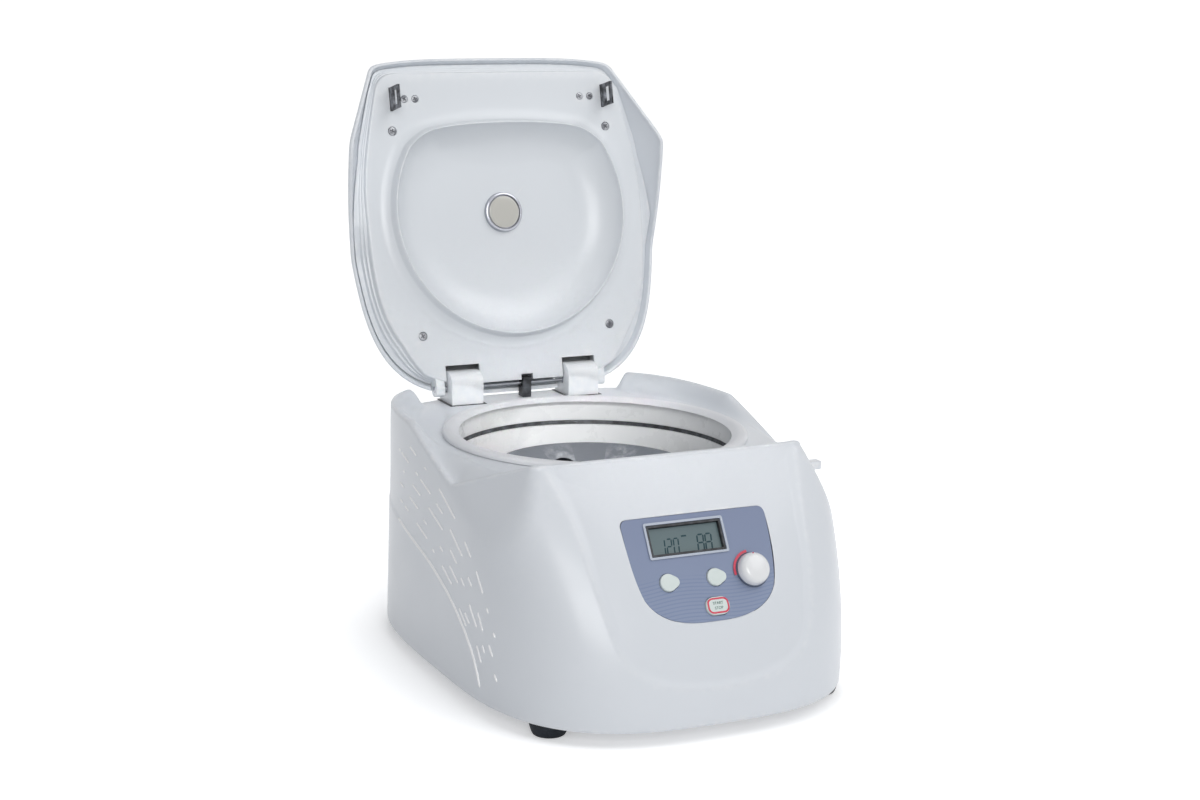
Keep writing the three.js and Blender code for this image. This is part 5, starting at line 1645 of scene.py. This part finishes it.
class CENTRIFUGE_OT_lid(bpy.types.Operator):
    """Domed lid, its dished liner, sight glass and screws, standing open"""

    bl_idname = "centrifuge.lid"
    bl_label = "Build the lid"

    def execute(self, context):
        """Makes the lid as if shut, cuts its openings and opens it about the hinge pin."""
        rooms = []
        half = KNUCKLE_WIDTH / 2 + 1.2
        for side, _ in SIDES:
            left, right = side * KNUCKLE_X - half, side * KNUCKLE_X + half
            rooms.append(bar(left, right, PIN_Y, PIN_Z, KNUCKLE_ROOM, 64))
            rooms.append(block((left, PIN_Y - 17, 0), (right, 600, PIN_Z)))
        behind = across_width([
            (PIN_Y + 7.6, 0), (600, 0), (600, PIN_Z + 46), (PIN_Y + 4.5, PIN_Z + 26),
            (PIN_Y + 6.2, PIN_Z + 15), (PIN_Y + 7.6, PIN_Z + 9),
        ])
        post = prism(circle(0, 0, SIGHT_RADIUS + GAP, 64), LID_APEX - 40, 400)
        pin_room = block((-PIN_HALF - 1, PIN_Y - 7, 0), (PIN_HALF + 1, 600, PIN_Z + 7))
        shell = mesh_object("lid_dome", moved(lid_solid(), lid_opened))
        for cutter in (post, behind, pin_room, *rooms):
            carved(shell, moved(cutter, lid_opened))
        finished(shell, "lid", housing_finish(), ("lid_shell",), 34)

        liner = mesh_object("lid_dish", moved(liner_solid(), lid_opened))
        slots, recesses = [], []
        half, reach = STRIKER_THICKNESS / 2 + GAP, STRIKER_LENGTH / 2 + GAP
        for side, _ in SIDES:
            slots.append(block(
                (side * STRIKER_X - half, STRIKER_Y - reach, 0),
                (side * STRIKER_X + half, STRIKER_Y + reach, 400),
            ))
            recesses += [turned([
                (0, LINER_Z - 1), (3.1, LINER_Z - 1), (3.1, LINER_Z + 0.3), (2.2, LINER_Z + 1.8),
                (0, LINER_Z + 1.8),
            ], 40, side * x, STRIKER_Y) for x in STRIKER_SCREWS]
        recesses += [turned([
            (0, LINER_Z - 2), (4.2, LINER_Z - 2), (3.7, LINER_Z + 0.2), (3.6, LINER_Z + 1.6),
            (0, LINER_Z + 1.6),
        ], 40, x, y) for x, y in LINER_SCREWS]
        pin_slot = block((-37, PIN_Y - 2.6, 0), (37, 600, 600))
        clip_slot = block((-0.6, PIN_Y - 7, 0), (9.6, 600, 600))
        for cutter in (*slots, *recesses, *rooms, pin_slot, clip_slot):
            carved(liner, moved(cutter, lid_opened))
        finished(liner, "lid", liner_finish(), ("lid_liner",), 34)
        lug = path(
            (PIN_Y - 24, LINER_Z + 1), ((PIN_Y - 6, LINER_Z + 1),),
            ((PIN_Y + 6.6, PIN_Z - 6.6), (PIN_Y + 6, PIN_Z)),
            ((PIN_Y + 6, PIN_Z + 6), (PIN_Y, PIN_Z + 6)), ((PIN_Y - 24, PIN_Z + 5),),
        )
        lugs = joined(*(
            across_width(lug, side * LUG_X - LUG_HALF, side * LUG_X + LUG_HALF) for side, _ in SIDES
        ))
        piece("lid_lugs", moved(lugs, lid_opened), "lid", liner_finish())

        for number, (x, y) in enumerate(LINER_SCREWS, 1):
            self.screw(f"liner_screw_{number}", x, y, 3.3, 0.35 * number)
        for side, name in SIDES:
            for number, x in enumerate(STRIKER_SCREWS, 1):
                self.screw(f"striker_screw_{name}_{number}", side * x, STRIKER_Y, 2.8, 0.6 * number)
            dressed([f"lid_striker_{name}"], dark_steel_finish(), 0.3)
        self.sight()
        return {"FINISHED"}

    def screw(self, node, x, y, head, turn):
        """One cross-recessed screw for a CAD screw."""
        solid = screw_solid(x, y, head, LINER_Z + 0.1)
        made = mesh_object(node + "_head", moved(solid, lid_opened))
        for arm in cross_recess(x, y, head * 0.55, LINER_Z - 2, LINER_Z + 1.1, turn):
            carved(made, moved(arm, lid_opened))
        darkened = finish(
            "zinc_screw", shade(0x74767C), 0.36, metallic=0.8, depth=0.006, tone=0.25, lines=True,
            wear_and_highlight=(shade(0xC9CBCF), 0.04),
        )
        finished(made, "lid", darkened, (node,), 30)

    def sight(self):
        """Ring, lens and tube of the sight glass."""
        low = LINER_Z + DISH_DEPTH - 0.6
        ring = turned(filleted([
            (SIGHT_RADIUS - 0.5, low - 1.2), (SIGHT_RADIUS + 2.4, low - 1.2),
            (SIGHT_RADIUS + 2.9, low - 3.0), (SIGHT_RADIUS + 4.6, low - 2.6),
            (SIGHT_RADIUS + 5.2, low + 0.3), (SIGHT_RADIUS, low + 0.3),
            (SIGHT_RADIUS, low + 3.2), (SIGHT_RADIUS - 0.5, low + 3.2),
        ], (0.1, 0.2, 0.4, 0.5, 0.2, 0.1, 0.1, 0.1)), 96)
        rim = finish(
            "sight_rim", shade(0xB4B6BE), 0.2, metallic=0.9, tone=0.05, depth=0.004,
        )
        piece("sight_rim", moved(ring, lid_opened), "lid", rim, ("sight_ring",))
        radius = SIGHT_RADIUS - GAP
        lens = turned(filleted([
            (0, low - 3.2), (radius, low - 3.0), (radius + 2, low - 2.6),
            (radius + 2, low - 1.3), (radius - 0.5, low - 1.3), (radius - 0.5, low + 3.4),
            (radius, low + 3.6), (radius, LID_APEX - 2.5), (radius - 1, LID_APEX - 1.5),
            (0, LID_APEX - 1.2),
        ], (0, 1.0, 0.3, 0.1, 0.1, 0.1, 0.1, 0.5, 0.5, 0), closed=False), 96)
        clear = finish(
            "sight_lens", shade(0xD3D1C9), 0.18, coat=0.5, coat_roughness=0.06, tone=0.06,
            transmission=0.1, depth=0.004,
        )
        piece("sight_lens", moved(lens, lid_opened), "lid", clear, ("sight_glass",))
        dressed(["sight_tube"], liner_finish(), 0.2)


class CENTRIFUGE_OT_hinge(bpy.types.Operator):
    """Hinge knuckles, pin, sensor clip, and the latch with its guides"""

    bl_idname = "centrifuge.hinge"
    bl_label = "Build the hinge and latch"

    def execute(self, context):
        """Makes the hinge blocks, a thin black sheet of painted shadow round the foot of each, and
        the pin, and dresses the clip and latch.
        """
        # The knuckle moulding's whiter edges are a painted highlight.
        knuckle = finish(
            "knuckle_moulding", shade(0xEFF2F5), 0.36, coat=0.25, coat_roughness=0.18,
            grain=1100.0, depth=0.008, tone=0.015, wear_and_highlight=(shade(0xF6F7F8), 0.05),
        )
        foot, shoulder, top = DECK_Z + GAP, PIN_Z + 4, PIN_Z + 14
        outline = path(
            (PIN_Y - KNUCKLE_REACH, foot), ((PIN_Y + KNUCKLE_REACH, foot),),
            ((PIN_Y + KNUCKLE_REACH, shoulder),),
            ((PIN_Y + KNUCKLE_REACH - 1, top), (PIN_Y, top)),
            ((PIN_Y - KNUCKLE_REACH + 1, top), (PIN_Y - KNUCKLE_REACH, shoulder)), steps=16,
        )
        for side, name in SIDES:
            left = side * KNUCKLE_X - KNUCKLE_WIDTH / 2
            right = side * KNUCKLE_X + KNUCKLE_WIDTH / 2
            made = mesh_object(f"hinge_block_{name}", across_width(outline, left, right))
            carved(made, bar(-200, 200, PIN_Y, PIN_Z, PIN_RADIUS + GAP))
            eased(made, 1.2, 40)
            baked(made)
            finished(made, "base", knuckle, (f"hinge_knuckle_{name}",), 30)
            # A thin black sheet round each block's foot: a painted contact shadow.
            foot_shadow = across_width([
                (PIN_Y - FOOT_SHADOW_REACH, DECK_Z + 0.05), (PIN_Y + FOOT_SHADOW_REACH, DECK_Z + 0.05),
                (PIN_Y + FOOT_SHADOW_REACH, DECK_Z + 0.25), (PIN_Y - FOOT_SHADOW_REACH, DECK_Z + 0.25),
            ], left - 2.2, right + 2.2)
            piece(f"hinge_foot_painted_shadow_{name}", foot_shadow, "base", black_plastic_finish())
        pin = turned(filleted([
            (0, -PIN_HALF), (PIN_RADIUS, -PIN_HALF), (PIN_RADIUS, -THIN_PIN_HALF - 0.8),
            (THIN_PIN_RADIUS, -THIN_PIN_HALF), (THIN_PIN_RADIUS, THIN_PIN_HALF),
            (PIN_RADIUS, THIN_PIN_HALF + 0.8), (PIN_RADIUS, PIN_HALF), (0, PIN_HALF),
        ], (0, 0.4, 0.2, 0.2, 0.2, 0.2, 0.4, 0), closed=False), 40)
        along = pin[0][:, [2, 0, 1]] + (0, PIN_Y, PIN_Z)
        piece("hinge_rod", (along, pin[1]), "base", steel_finish(), ("hinge_pin",))
        dressed(["lid_sensor_clip"], black_plastic_finish(), 0.4)
        dressed(["latch_bar"], housing_finish(), 0.5)
        dressed(["latch_guide_left", "latch_guide_right"], black_plastic_finish(), 0.3)
        return {"FINISHED"}


# ---------------------------------------------------------------- control panel

KEYS = (
    ("time_key", -29.0, 4.4, 14.5, 12.4), ("speed_key", 7.2, 4.4, 14.5, 12.4),
    ("start_stop_key", 2.9, -15.6, 18.0, 12.5),
)
SEGMENTS = {
    "0": "abcdef", "1": "bc", "2": "abged", "3": "abgcd", "4": "fgbc", "5": "afgcd",
    "6": "afgedc", "7": "abc", "8": "abcdefg", "9": "abcdfg",
}
SEGMENT_LINES = {
    "a": ((0, 2), (1, 2)), "b": ((1, 2), (1, 1)), "c": ((1, 1), (1, 0)), "d": ((0, 0), (1, 0)),
    "e": ((0, 1), (0, 0)), "f": ((0, 2), (0, 1)), "g": ((0, 1), (1, 1)),
}


def key_outline(key, margin):
    """Outline of a key: an arrow key is a disc and a smaller one at its right, run together."""
    name, x, up, width, height = key
    if name == "start_stop_key":
        return rounded_rectangle(x, up, width + 2 * margin, height + 2 * margin, 5.8 + margin)
    large, small = height / 2, 4.0
    apart = width - large - small
    centre = x - width / 2 + large
    meeting = math.acos((large - small) / apart)
    return np.array([
        (middle + (radius + margin) * math.cos(t), up + (radius + margin) * math.sin(t))
        for middle, radius, turns in (
            (centre + apart, small, np.linspace(-meeting, meeting, 16)),
            (centre, large, np.linspace(meeting, TAU - meeting, 34)),
        )
        for t in turns
    ])


def digits(number, left, low, pitch, width, height, stroke):
    """A number in seven-segment strokes, leaning to the right, as flat prisms."""
    strokes = []
    for place, digit in enumerate(number):
        for segment in SEGMENTS[digit]:
            ends = np.array(SEGMENT_LINES[segment], float) * (width, height / 2)
            along = ends[1] - ends[0]
            along /= np.linalg.norm(along)
            across = np.array([-along[1], along[0]]) * stroke / 2
            first, last = ends[0] + along * stroke * 0.25, ends[1] - along * stroke * 0.25
            cut = along * stroke / 2
            corners = np.array([
                first, first + cut - across, last - cut - across, last,
                last - cut + across, first + cut + across,
            ])
            corners[:, 0] += corners[:, 1] * 0.1 + left + place * pitch
            corners[:, 1] += low
            strokes.append(prism(corners, LCD_FACE + 0.02, LCD_FACE + 0.08))
    return strokes


def arc_band(inner, outer, start, end, low, high, steps=40):
    """A flat curved band round the knob, on the control panel."""
    turns = np.radians(np.linspace(start, end, steps))
    outline = [
        (KNOB_X + radius * np.cos(t), KNOB_UP + radius * np.sin(t))
        for radius, line in ((outer, turns), (inner, turns[::-1]))
        for t in line
    ]
    return moved(prism(np.array(outline), low, high), on_panel)


class CENTRIFUGE_OT_panel(bpy.types.Operator):
    """Control overlay, display, keys and knob"""

    bl_idname = "centrifuge.panel"
    bl_label = "Build the control panel"

    def execute(self, context):
        """Lays the overlay in its scoop and sets the display, keys and knob in it."""
        self.overlay()
        self.display()
        self.keys()
        self.knob()
        dressed(["control_board"], board_finish())
        dressed(["knob_encoder"], steel_finish(), 0.2)
        dressed([name + "_switch" for name, *_ in KEYS], black_plastic_finish(), 0.2)
        return {"FINISHED"}

    def overlay(self):
        """The printed overlay plate with its openings, and the pale border of its window."""
        outline = overlay_outline(0, 24)
        window = rounded_rectangle(LCD_X, LCD_UP, LCD_WIDTH, LCD_HEIGHT, 0.6)
        holes = [key_outline(key, SLIDE_GAP) for key in KEYS]
        made = plate(
            "overlay_sheet", [outline, window, circle(KNOB_X, KNOB_UP, 5), *holes],
            OVERLAY_THICKNESS, 0.2, -OVERLAY_THICKNESS / 2,
        )
        print_film = finish(
            "overlay_print", tuple(colours().overlay), 0.5, coat=0.06, coat_roughness=0.3,
            grain=1500.0, specular=0.35, depth=0.01, tone=0.05, layers=printed_waves,
        )
        laid(made, on_panel)
        finished(made, "base", print_film, ("control_overlay",))
        frame_film = finish("window_print", shade(0xB7C0CE), 0.35, coat=0.3, tone=0.04)
        border = plate("window_border", [
            rounded_rectangle(LCD_X, LCD_UP, LCD_WIDTH + 3.4, LCD_HEIGHT + 3.4, 1.6),
            rounded_rectangle(LCD_X, LCD_UP, LCD_WIDTH, LCD_HEIGHT, 0.6),
        ], 0.3, 0.1, 0.12)
        finished(laid(border, on_panel), "base", frame_film)

    def display(self):
        """The sunken liquid crystal panel with its dark numbers."""
        dressed(["lcd_bezel"], black_plastic_finish())
        inset = GAP + 1.5 + GAP
        # The display's tone darkens towards its top: painted shade.
        glass = finish(
            "display_glass", shade(0x66787B), 0.34, coat=0.15, coat_roughness=0.12, tone=0.05,
            depth=0.003, specular=0.3, layers=panel_painted_shade,
        )
        face = rounded_rectangle(LCD_X, LCD_UP, LCD_WIDTH - 2 * inset, LCD_HEIGHT - 2 * inset, 0.3)
        panel = moved(prism(face, -BOARD_GAP, LCD_FACE), on_panel)
        piece("display_plate", panel, "base", glass, ("lcd_panel",))
        ink = finish("display_ink", shade(0x2C474E), 0.4, tone=0.15, specular=0.2)
        marks = digits("120", LCD_X - 20.4, LCD_UP - 9.6, 5.3, 3.6, 10.6, 1.0)
        marks += digits("88", LCD_X + 8.6, LCD_UP - 9.8, 6.2, 4.6, 11.6, 1.15)
        marks.append(prism(rounded_rectangle(LCD_X - 0.4, LCD_UP + 2.1, 4, 1.2, 0.3),
                           LCD_FACE + 0.02, LCD_FACE + 0.08))
        piece("display_numbers", moved(joined(*marks), on_panel), "base", ink)

    def keys(self):
        """Soft keys with rounded edges; the start and stop key has a coloured ring and words."""
        soft = finish(
            "key_rubber", tuple(colours().keys), 0.48, coat=0.12, grain=1500.0, depth=0.02,
            tone=0.05, wear_and_highlight=(shade(0xF2F6F3), 0.05),
        )
        ink = finish("key_print", shade(0x3E6A5E), 0.5, tone=0.2)
        under = -OVERLAY_THICKNESS
        for key in KEYS:
            name, x, up, width, height = key
            cap = domed_prism(key_outline(key, 0), under - 2, KEY_PROUD - 0.25, 0.9, 0.25, 6)
            stem = prism(rounded_rectangle(x, up, 6, 6, 1.5), -BOARD_GAP + 3.3, under - 1.5)
            solid = moved(joined(cap, stem), on_panel)
            piece(name + "_cap", solid, name, soft, (name,), 50)
        name, x, up, width, height = KEYS[-1]
        ring = plate("start_stop_ring", [
            rounded_rectangle(x, up, width - 1.6, height - 1.6, 4.0),
            rounded_rectangle(x, up, width - 4.0, height - 4.0, 3.0),
        ], 0.3, 0.08, KEY_PROUD - 0.02)
        finished(laid(ring, on_panel), name, accent_finish())
        for words, rise in (("START", 1.6), ("STOP", -1.8)):
            made = lettering(
                words.lower() + "_word", words, 2.7, x, up + rise, lift=KEY_PROUD + 0.02
            )
            finished(laid(made, on_panel), name, ink)

    def knob(self):
        """The domed knob, the printed red arc round it, and a dark ring at its foot that is a
        painted contact shadow.
        """
        low, top = SLIDE_GAP + 0.15, KNOB_HEIGHT
        profile = filleted([
            (3.35, low), (KNOB_RADIUS, low), (KNOB_RADIUS, low + 2), (KNOB_RADIUS - 0.7, top - 3.2),
            (KNOB_RADIUS - 3, top - 1), (KNOB_RADIUS - 6.5, top - 0.2), (0, top), (0, 4.3),
            (3.35, 4.3),
        ], (0.2, 0.6, 0.8, 3, 3, 3, 0, 0, 0.2), steps=8)
        axis = np.flatnonzero(profile[:, 0] == 0)
        ordered = np.concatenate([profile[axis[-1]:], profile[:axis[0] + 1]])
        cap = finish(
            "knob_moulding", shade(0xF1F2F3), 0.26, coat=0.5, coat_roughness=0.1, tone=0.02,
            depth=0.005,
        )
        made = moved(turned(ordered, 120), lambda points: on_panel(points + (KNOB_X, KNOB_UP, 0)))
        piece("knob_dome", made, "knob", cap, ("speed_knob",), 50)
        outline = rounded_rectangle(KNOB_X, KNOB_UP + KNOB_RADIUS - 2.2, 0.9, 2.6, 0.4)
        pointer = moved(prism(outline, top - 4.6, top - 2.15), on_panel)
        piece("knob_pointer", pointer, "knob", accent_finish())
        # A dark ring round the knob's foot: a painted contact shadow.
        dark = finish("knob_painted_shadow", shade(0x4A5568), 0.5, tone=0.1)
        red_arc = arc_band(12.6, 14.4, 95, 190, -0.05, 0.08)
        piece("knob_red_arc", red_arc, "base", accent_finish())
        shadow_ring = arc_band(11.9, 12.5, 0, 359.9, -0.05, 0.06, 96)
        piece("knob_painted_shadow_ring", shadow_ring, "base", dark)


def accent_finish():
    """Red print."""
    return finish("accent_print", tuple(colours().accent), 0.42, coat=0.2, tone=0.1)


class CENTRIFUGE_OT_rear(bpy.types.Operator):
    """Power inlet, rocker switch and fuse drawer on the rear wall"""

    bl_idname = "centrifuge.rear"
    bl_label = "Build the rear fittings"

    def execute(self, context):
        """Dresses the fittings and prints the two switch signs."""
        dressed(["power_inlet", "switch_frame", "fuse_drawer"], black_plastic_finish(), 0.4)
        rocker = finish("rocker_plastic", shade(0x26282C), 0.3, coat=0.3, tone=0.1,
                        wear_and_highlight=(shade(0x55585E), 0.05))
        dressed(["power_rocker"], rocker, 0.5)
        ink = finish("switch_print", shade(0xE6E7E8), 0.5, tone=0.05)
        x, _, height = FITTINGS[1]
        for name, sign, rise in (("switch_on_sign", "I", 1), ("switch_off_sign", "0", -1)):
            up = FITTING_Z + rise * (height / 2 + 1.2)
            made = lettering(name, sign, 2.6, -x, up, lift=GAP + 1.62)
            finished(laid(made, on_rear), "base", ink)
        return {"FINISHED"}


class CENTRIFUGE_OT_inside(bpy.types.Operator):
    """Power board and transformer under the bowl"""

    bl_idname = "centrifuge.inside"
    bl_label = "Dress the inside"

    def execute(self, context):
        """Dresses the parts that no one sees until the housing is off."""
        dressed(["power_board"], board_finish())
        dressed(["power_transformer"], copper_finish(), 0.4)
        return {"FINISHED"}


# ---------------------------------------------------------------- stage

CAMERA_PLACE = (-0.70159, -1.43315, 0.53922)
CAMERA_RIGHT = (0.89754469, -0.4404229, 0.02100485)
CAMERA_UP = (0.0761283, 0.20171385, 0.97648144)
CAMERA_FORWARD = (0.43430176, 0.87483667, -0.21457584)
CAMERA_LENS, SENSOR_WIDTH = 65.405, 36.0

# Lights: place and aim in metres, and width.
KEY_LIGHT = ((-1.7, -4.8, 2.4), (0, 0, 0.2), 2.6)
TOP_LIGHT = ((1.1, -0.9, 2.1), (0, 0, 0.2), 1.8)
BOWL_LIGHT = ((-0.2, -1.8, 1.7), (0, 0.06, 0.16), 0.12)
BOWL_LIGHT_SPREAD = math.radians(6)
KEY_TINT, SKY_TINT, WHITE = (1.0, 0.995, 0.985), (0.95, 0.975, 1.03, 1), (1, 1, 1, 1)
FLOOR_HALF_M = 120.0
# Reach of the painted contact shadow on the floor, in metres.
PAINTED_SHADOW_REACH_M = 0.12


def area_light(name, place, aim, size, power, colour=(1, 1, 1)):
    """A square soft light aimed at a point, in metres."""
    lamp = bpy.data.lights.new(name, "AREA")
    lamp.shape = "SQUARE"
    lamp.size = size
    lamp.energy = power
    lamp.color = colour
    made = bpy.data.objects.new(name, lamp)
    made.location = place
    made.rotation_euler = (Vector(aim) - Vector(place)).to_track_quat("-Z", "Y").to_euler()
    bpy.context.scene.collection.objects.link(made)
    return made


class CENTRIFUGE_OT_stage(bpy.types.Operator):
    """Camera, pale floor, soft studio lights and background"""

    bl_idname = "centrifuge.stage"
    bl_label = "Set the stage"

    key_power: light_setting("Key light", "Power of the key light", 104.0)
    top_power: light_setting("Top light", "Power of the top light", 17.0)
    bowl_power: light_setting("Bowl light", "Power of the light into the bowl", 0.036)
    sky: light_setting("Surroundings", "Strength of the even light", 0.28)

    def execute(self, context):
        """Sets the camera first, then the floor, lights and world."""
        scene = context.scene
        lens = bpy.data.cameras.new("view")
        lens.lens = CAMERA_LENS
        lens.sensor_width = SENSOR_WIDTH
        lens.clip_end = 200
        camera = bpy.data.objects.new("view", lens)
        turn = Matrix((CAMERA_RIGHT, CAMERA_UP, tuple(-c for c in CAMERA_FORWARD))).transposed()
        camera.matrix_world = Matrix.Translation(CAMERA_PLACE) @ turn.to_4x4()
        scene.collection.objects.link(camera)
        scene.camera = camera
        scene.view_settings.view_transform = "Standard"
        self.floor()
        area_light("key_light", *KEY_LIGHT, self.key_power, KEY_TINT)
        area_light("top_light", *TOP_LIGHT, self.top_power)
        narrow = area_light("bowl_light", *BOWL_LIGHT, self.bowl_power)
        narrow.data.spread = BOWL_LIGHT_SPREAD
        self.surroundings(scene)
        return {"FINISHED"}

    def floor(self):
        """A very wide pale floor that the camera sees as white, with the object's soft shadow, and
        a painted contact shadow where ambient occlusion holds back its glow.
        """
        half = FLOOR_HALF_M
        mesh = bpy.data.meshes.new("studio_floor")
        mesh.from_pydata([(-half, -half, 0), (half, -half, 0), (half, half, 0), (-half, half, 0)],
                         [], [(0, 1, 2, 3)])
        made = bpy.data.objects.new("studio_floor", mesh)
        bpy.context.scene.collection.objects.link(made)
        material = bpy.data.materials.new("studio_floor")
        material.use_nodes = True
        tree = material.node_tree
        shader = tree.nodes["Principled BSDF"]
        shader.inputs["Base Color"].default_value = shade(0xF2F3F4)
        shader.inputs["Roughness"].default_value = 0.9
        shader.inputs["Specular IOR Level"].default_value = 0.1
        shader.inputs["Emission Color"].default_value = WHITE
        # Painted contact shadow: the glow that whitens the floor is held back near the object by
        # ambient occlusion.
        open_sky = tree.nodes.new("ShaderNodeAmbientOcclusion")
        open_sky.inputs["Distance"].default_value = PAINTED_SHADOW_REACH_M
        glow_with_painted_shadow = remapped(tree, open_sky.outputs["AO"], 0.5, 0.92, 0.36, 0.8)
        lift = multiplied(tree, self.seen(tree), glow_with_painted_shadow)
        tree.links.new(lift, shader.inputs["Emission Strength"])
        mesh.materials.append(material)

    def seen(self, tree):
        """1 for camera, glossy and transmission rays, else 0."""
        rays = tree.nodes.new("ShaderNodeLightPath").outputs
        seen = computed(tree, "MAXIMUM", rays["Is Camera Ray"], rays["Is Glossy Ray"])
        return computed(tree, "MAXIMUM", seen, rays["Is Transmission Ray"])

    def surroundings(self, scene):
        """An even grey world that looks white to the camera and in reflections."""
        world = bpy.data.worlds.new("studio")
        world.use_nodes = True
        scene.world = world
        tree = world.node_tree
        back = tree.nodes["Background"]
        seen = self.seen(tree)
        tint = blended(tree, seen, SKY_TINT, WHITE)
        tree.links.new(tint, back.inputs["Color"])
        strength = remapped(tree, seen, 0.0, 1.0, self.sky, 1.0)
        tree.links.new(strength, back.inputs["Strength"])


# ---------------------------------------------------------------- panel and registration


class CENTRIFUGE_PT_sidebar(bpy.types.Panel):
    """Sizes, colours and build steps of the centrifuge"""

    bl_idname = "CENTRIFUGE_PT_sidebar"
    bl_label = "Laboratory Centrifuge"
    bl_space_type = "VIEW_3D"
    bl_region_type = "UI"
    bl_category = "Centrifuge"

    def draw(self, context):
        """Lists the settings and the operators."""
        layout = self.layout
        for settings in (context.scene.centrifuge_sizes, context.scene.centrifuge_colours):
            box = layout.box()
            for name in settings.bl_rna.properties.keys():
                if name not in ("rna_type", "name"):
                    box.prop(settings, name)
        for operator in BUILD_ORDER:
            layout.operator(operator.bl_idname)


BUILD_ORDER = (
    CENTRIFUGE_OT_stage, CENTRIFUGE_OT_housing, CENTRIFUGE_OT_base, CENTRIFUGE_OT_bowl,
    CENTRIFUGE_OT_rotor, CENTRIFUGE_OT_lid, CENTRIFUGE_OT_hinge, CENTRIFUGE_OT_panel,
    CENTRIFUGE_OT_rear, CENTRIFUGE_OT_inside,
)
CLASSES = (CentrifugeSizes, CentrifugeColours, *BUILD_ORDER, CENTRIFUGE_PT_sidebar)


def register():
    """Adds the classes and the scene's settings."""
    for made in CLASSES:
        bpy.utils.register_class(made)
    bpy.types.Scene.centrifuge_sizes = PointerProperty(type=CentrifugeSizes)
    bpy.types.Scene.centrifuge_colours = PointerProperty(type=CentrifugeColours)


def unregister():
    """Takes the settings and classes away again."""
    del bpy.types.Scene.centrifuge_colours
    del bpy.types.Scene.centrifuge_sizes
    for made in reversed(CLASSES):
        bpy.utils.unregister_class(made)


def main():
    """Builds everything in order."""
    register()
    bpy.ops.centrifuge.stage()
    bpy.ops.centrifuge.housing()
    bpy.ops.centrifuge.base()
    bpy.ops.centrifuge.bowl()
    bpy.ops.centrifuge.rotor()
    bpy.ops.centrifuge.lid()
    bpy.ops.centrifuge.hinge()
    bpy.ops.centrifuge.panel()
    bpy.ops.centrifuge.rear()
    bpy.ops.centrifuge.inside()


if __name__ == "__main__":
    main()
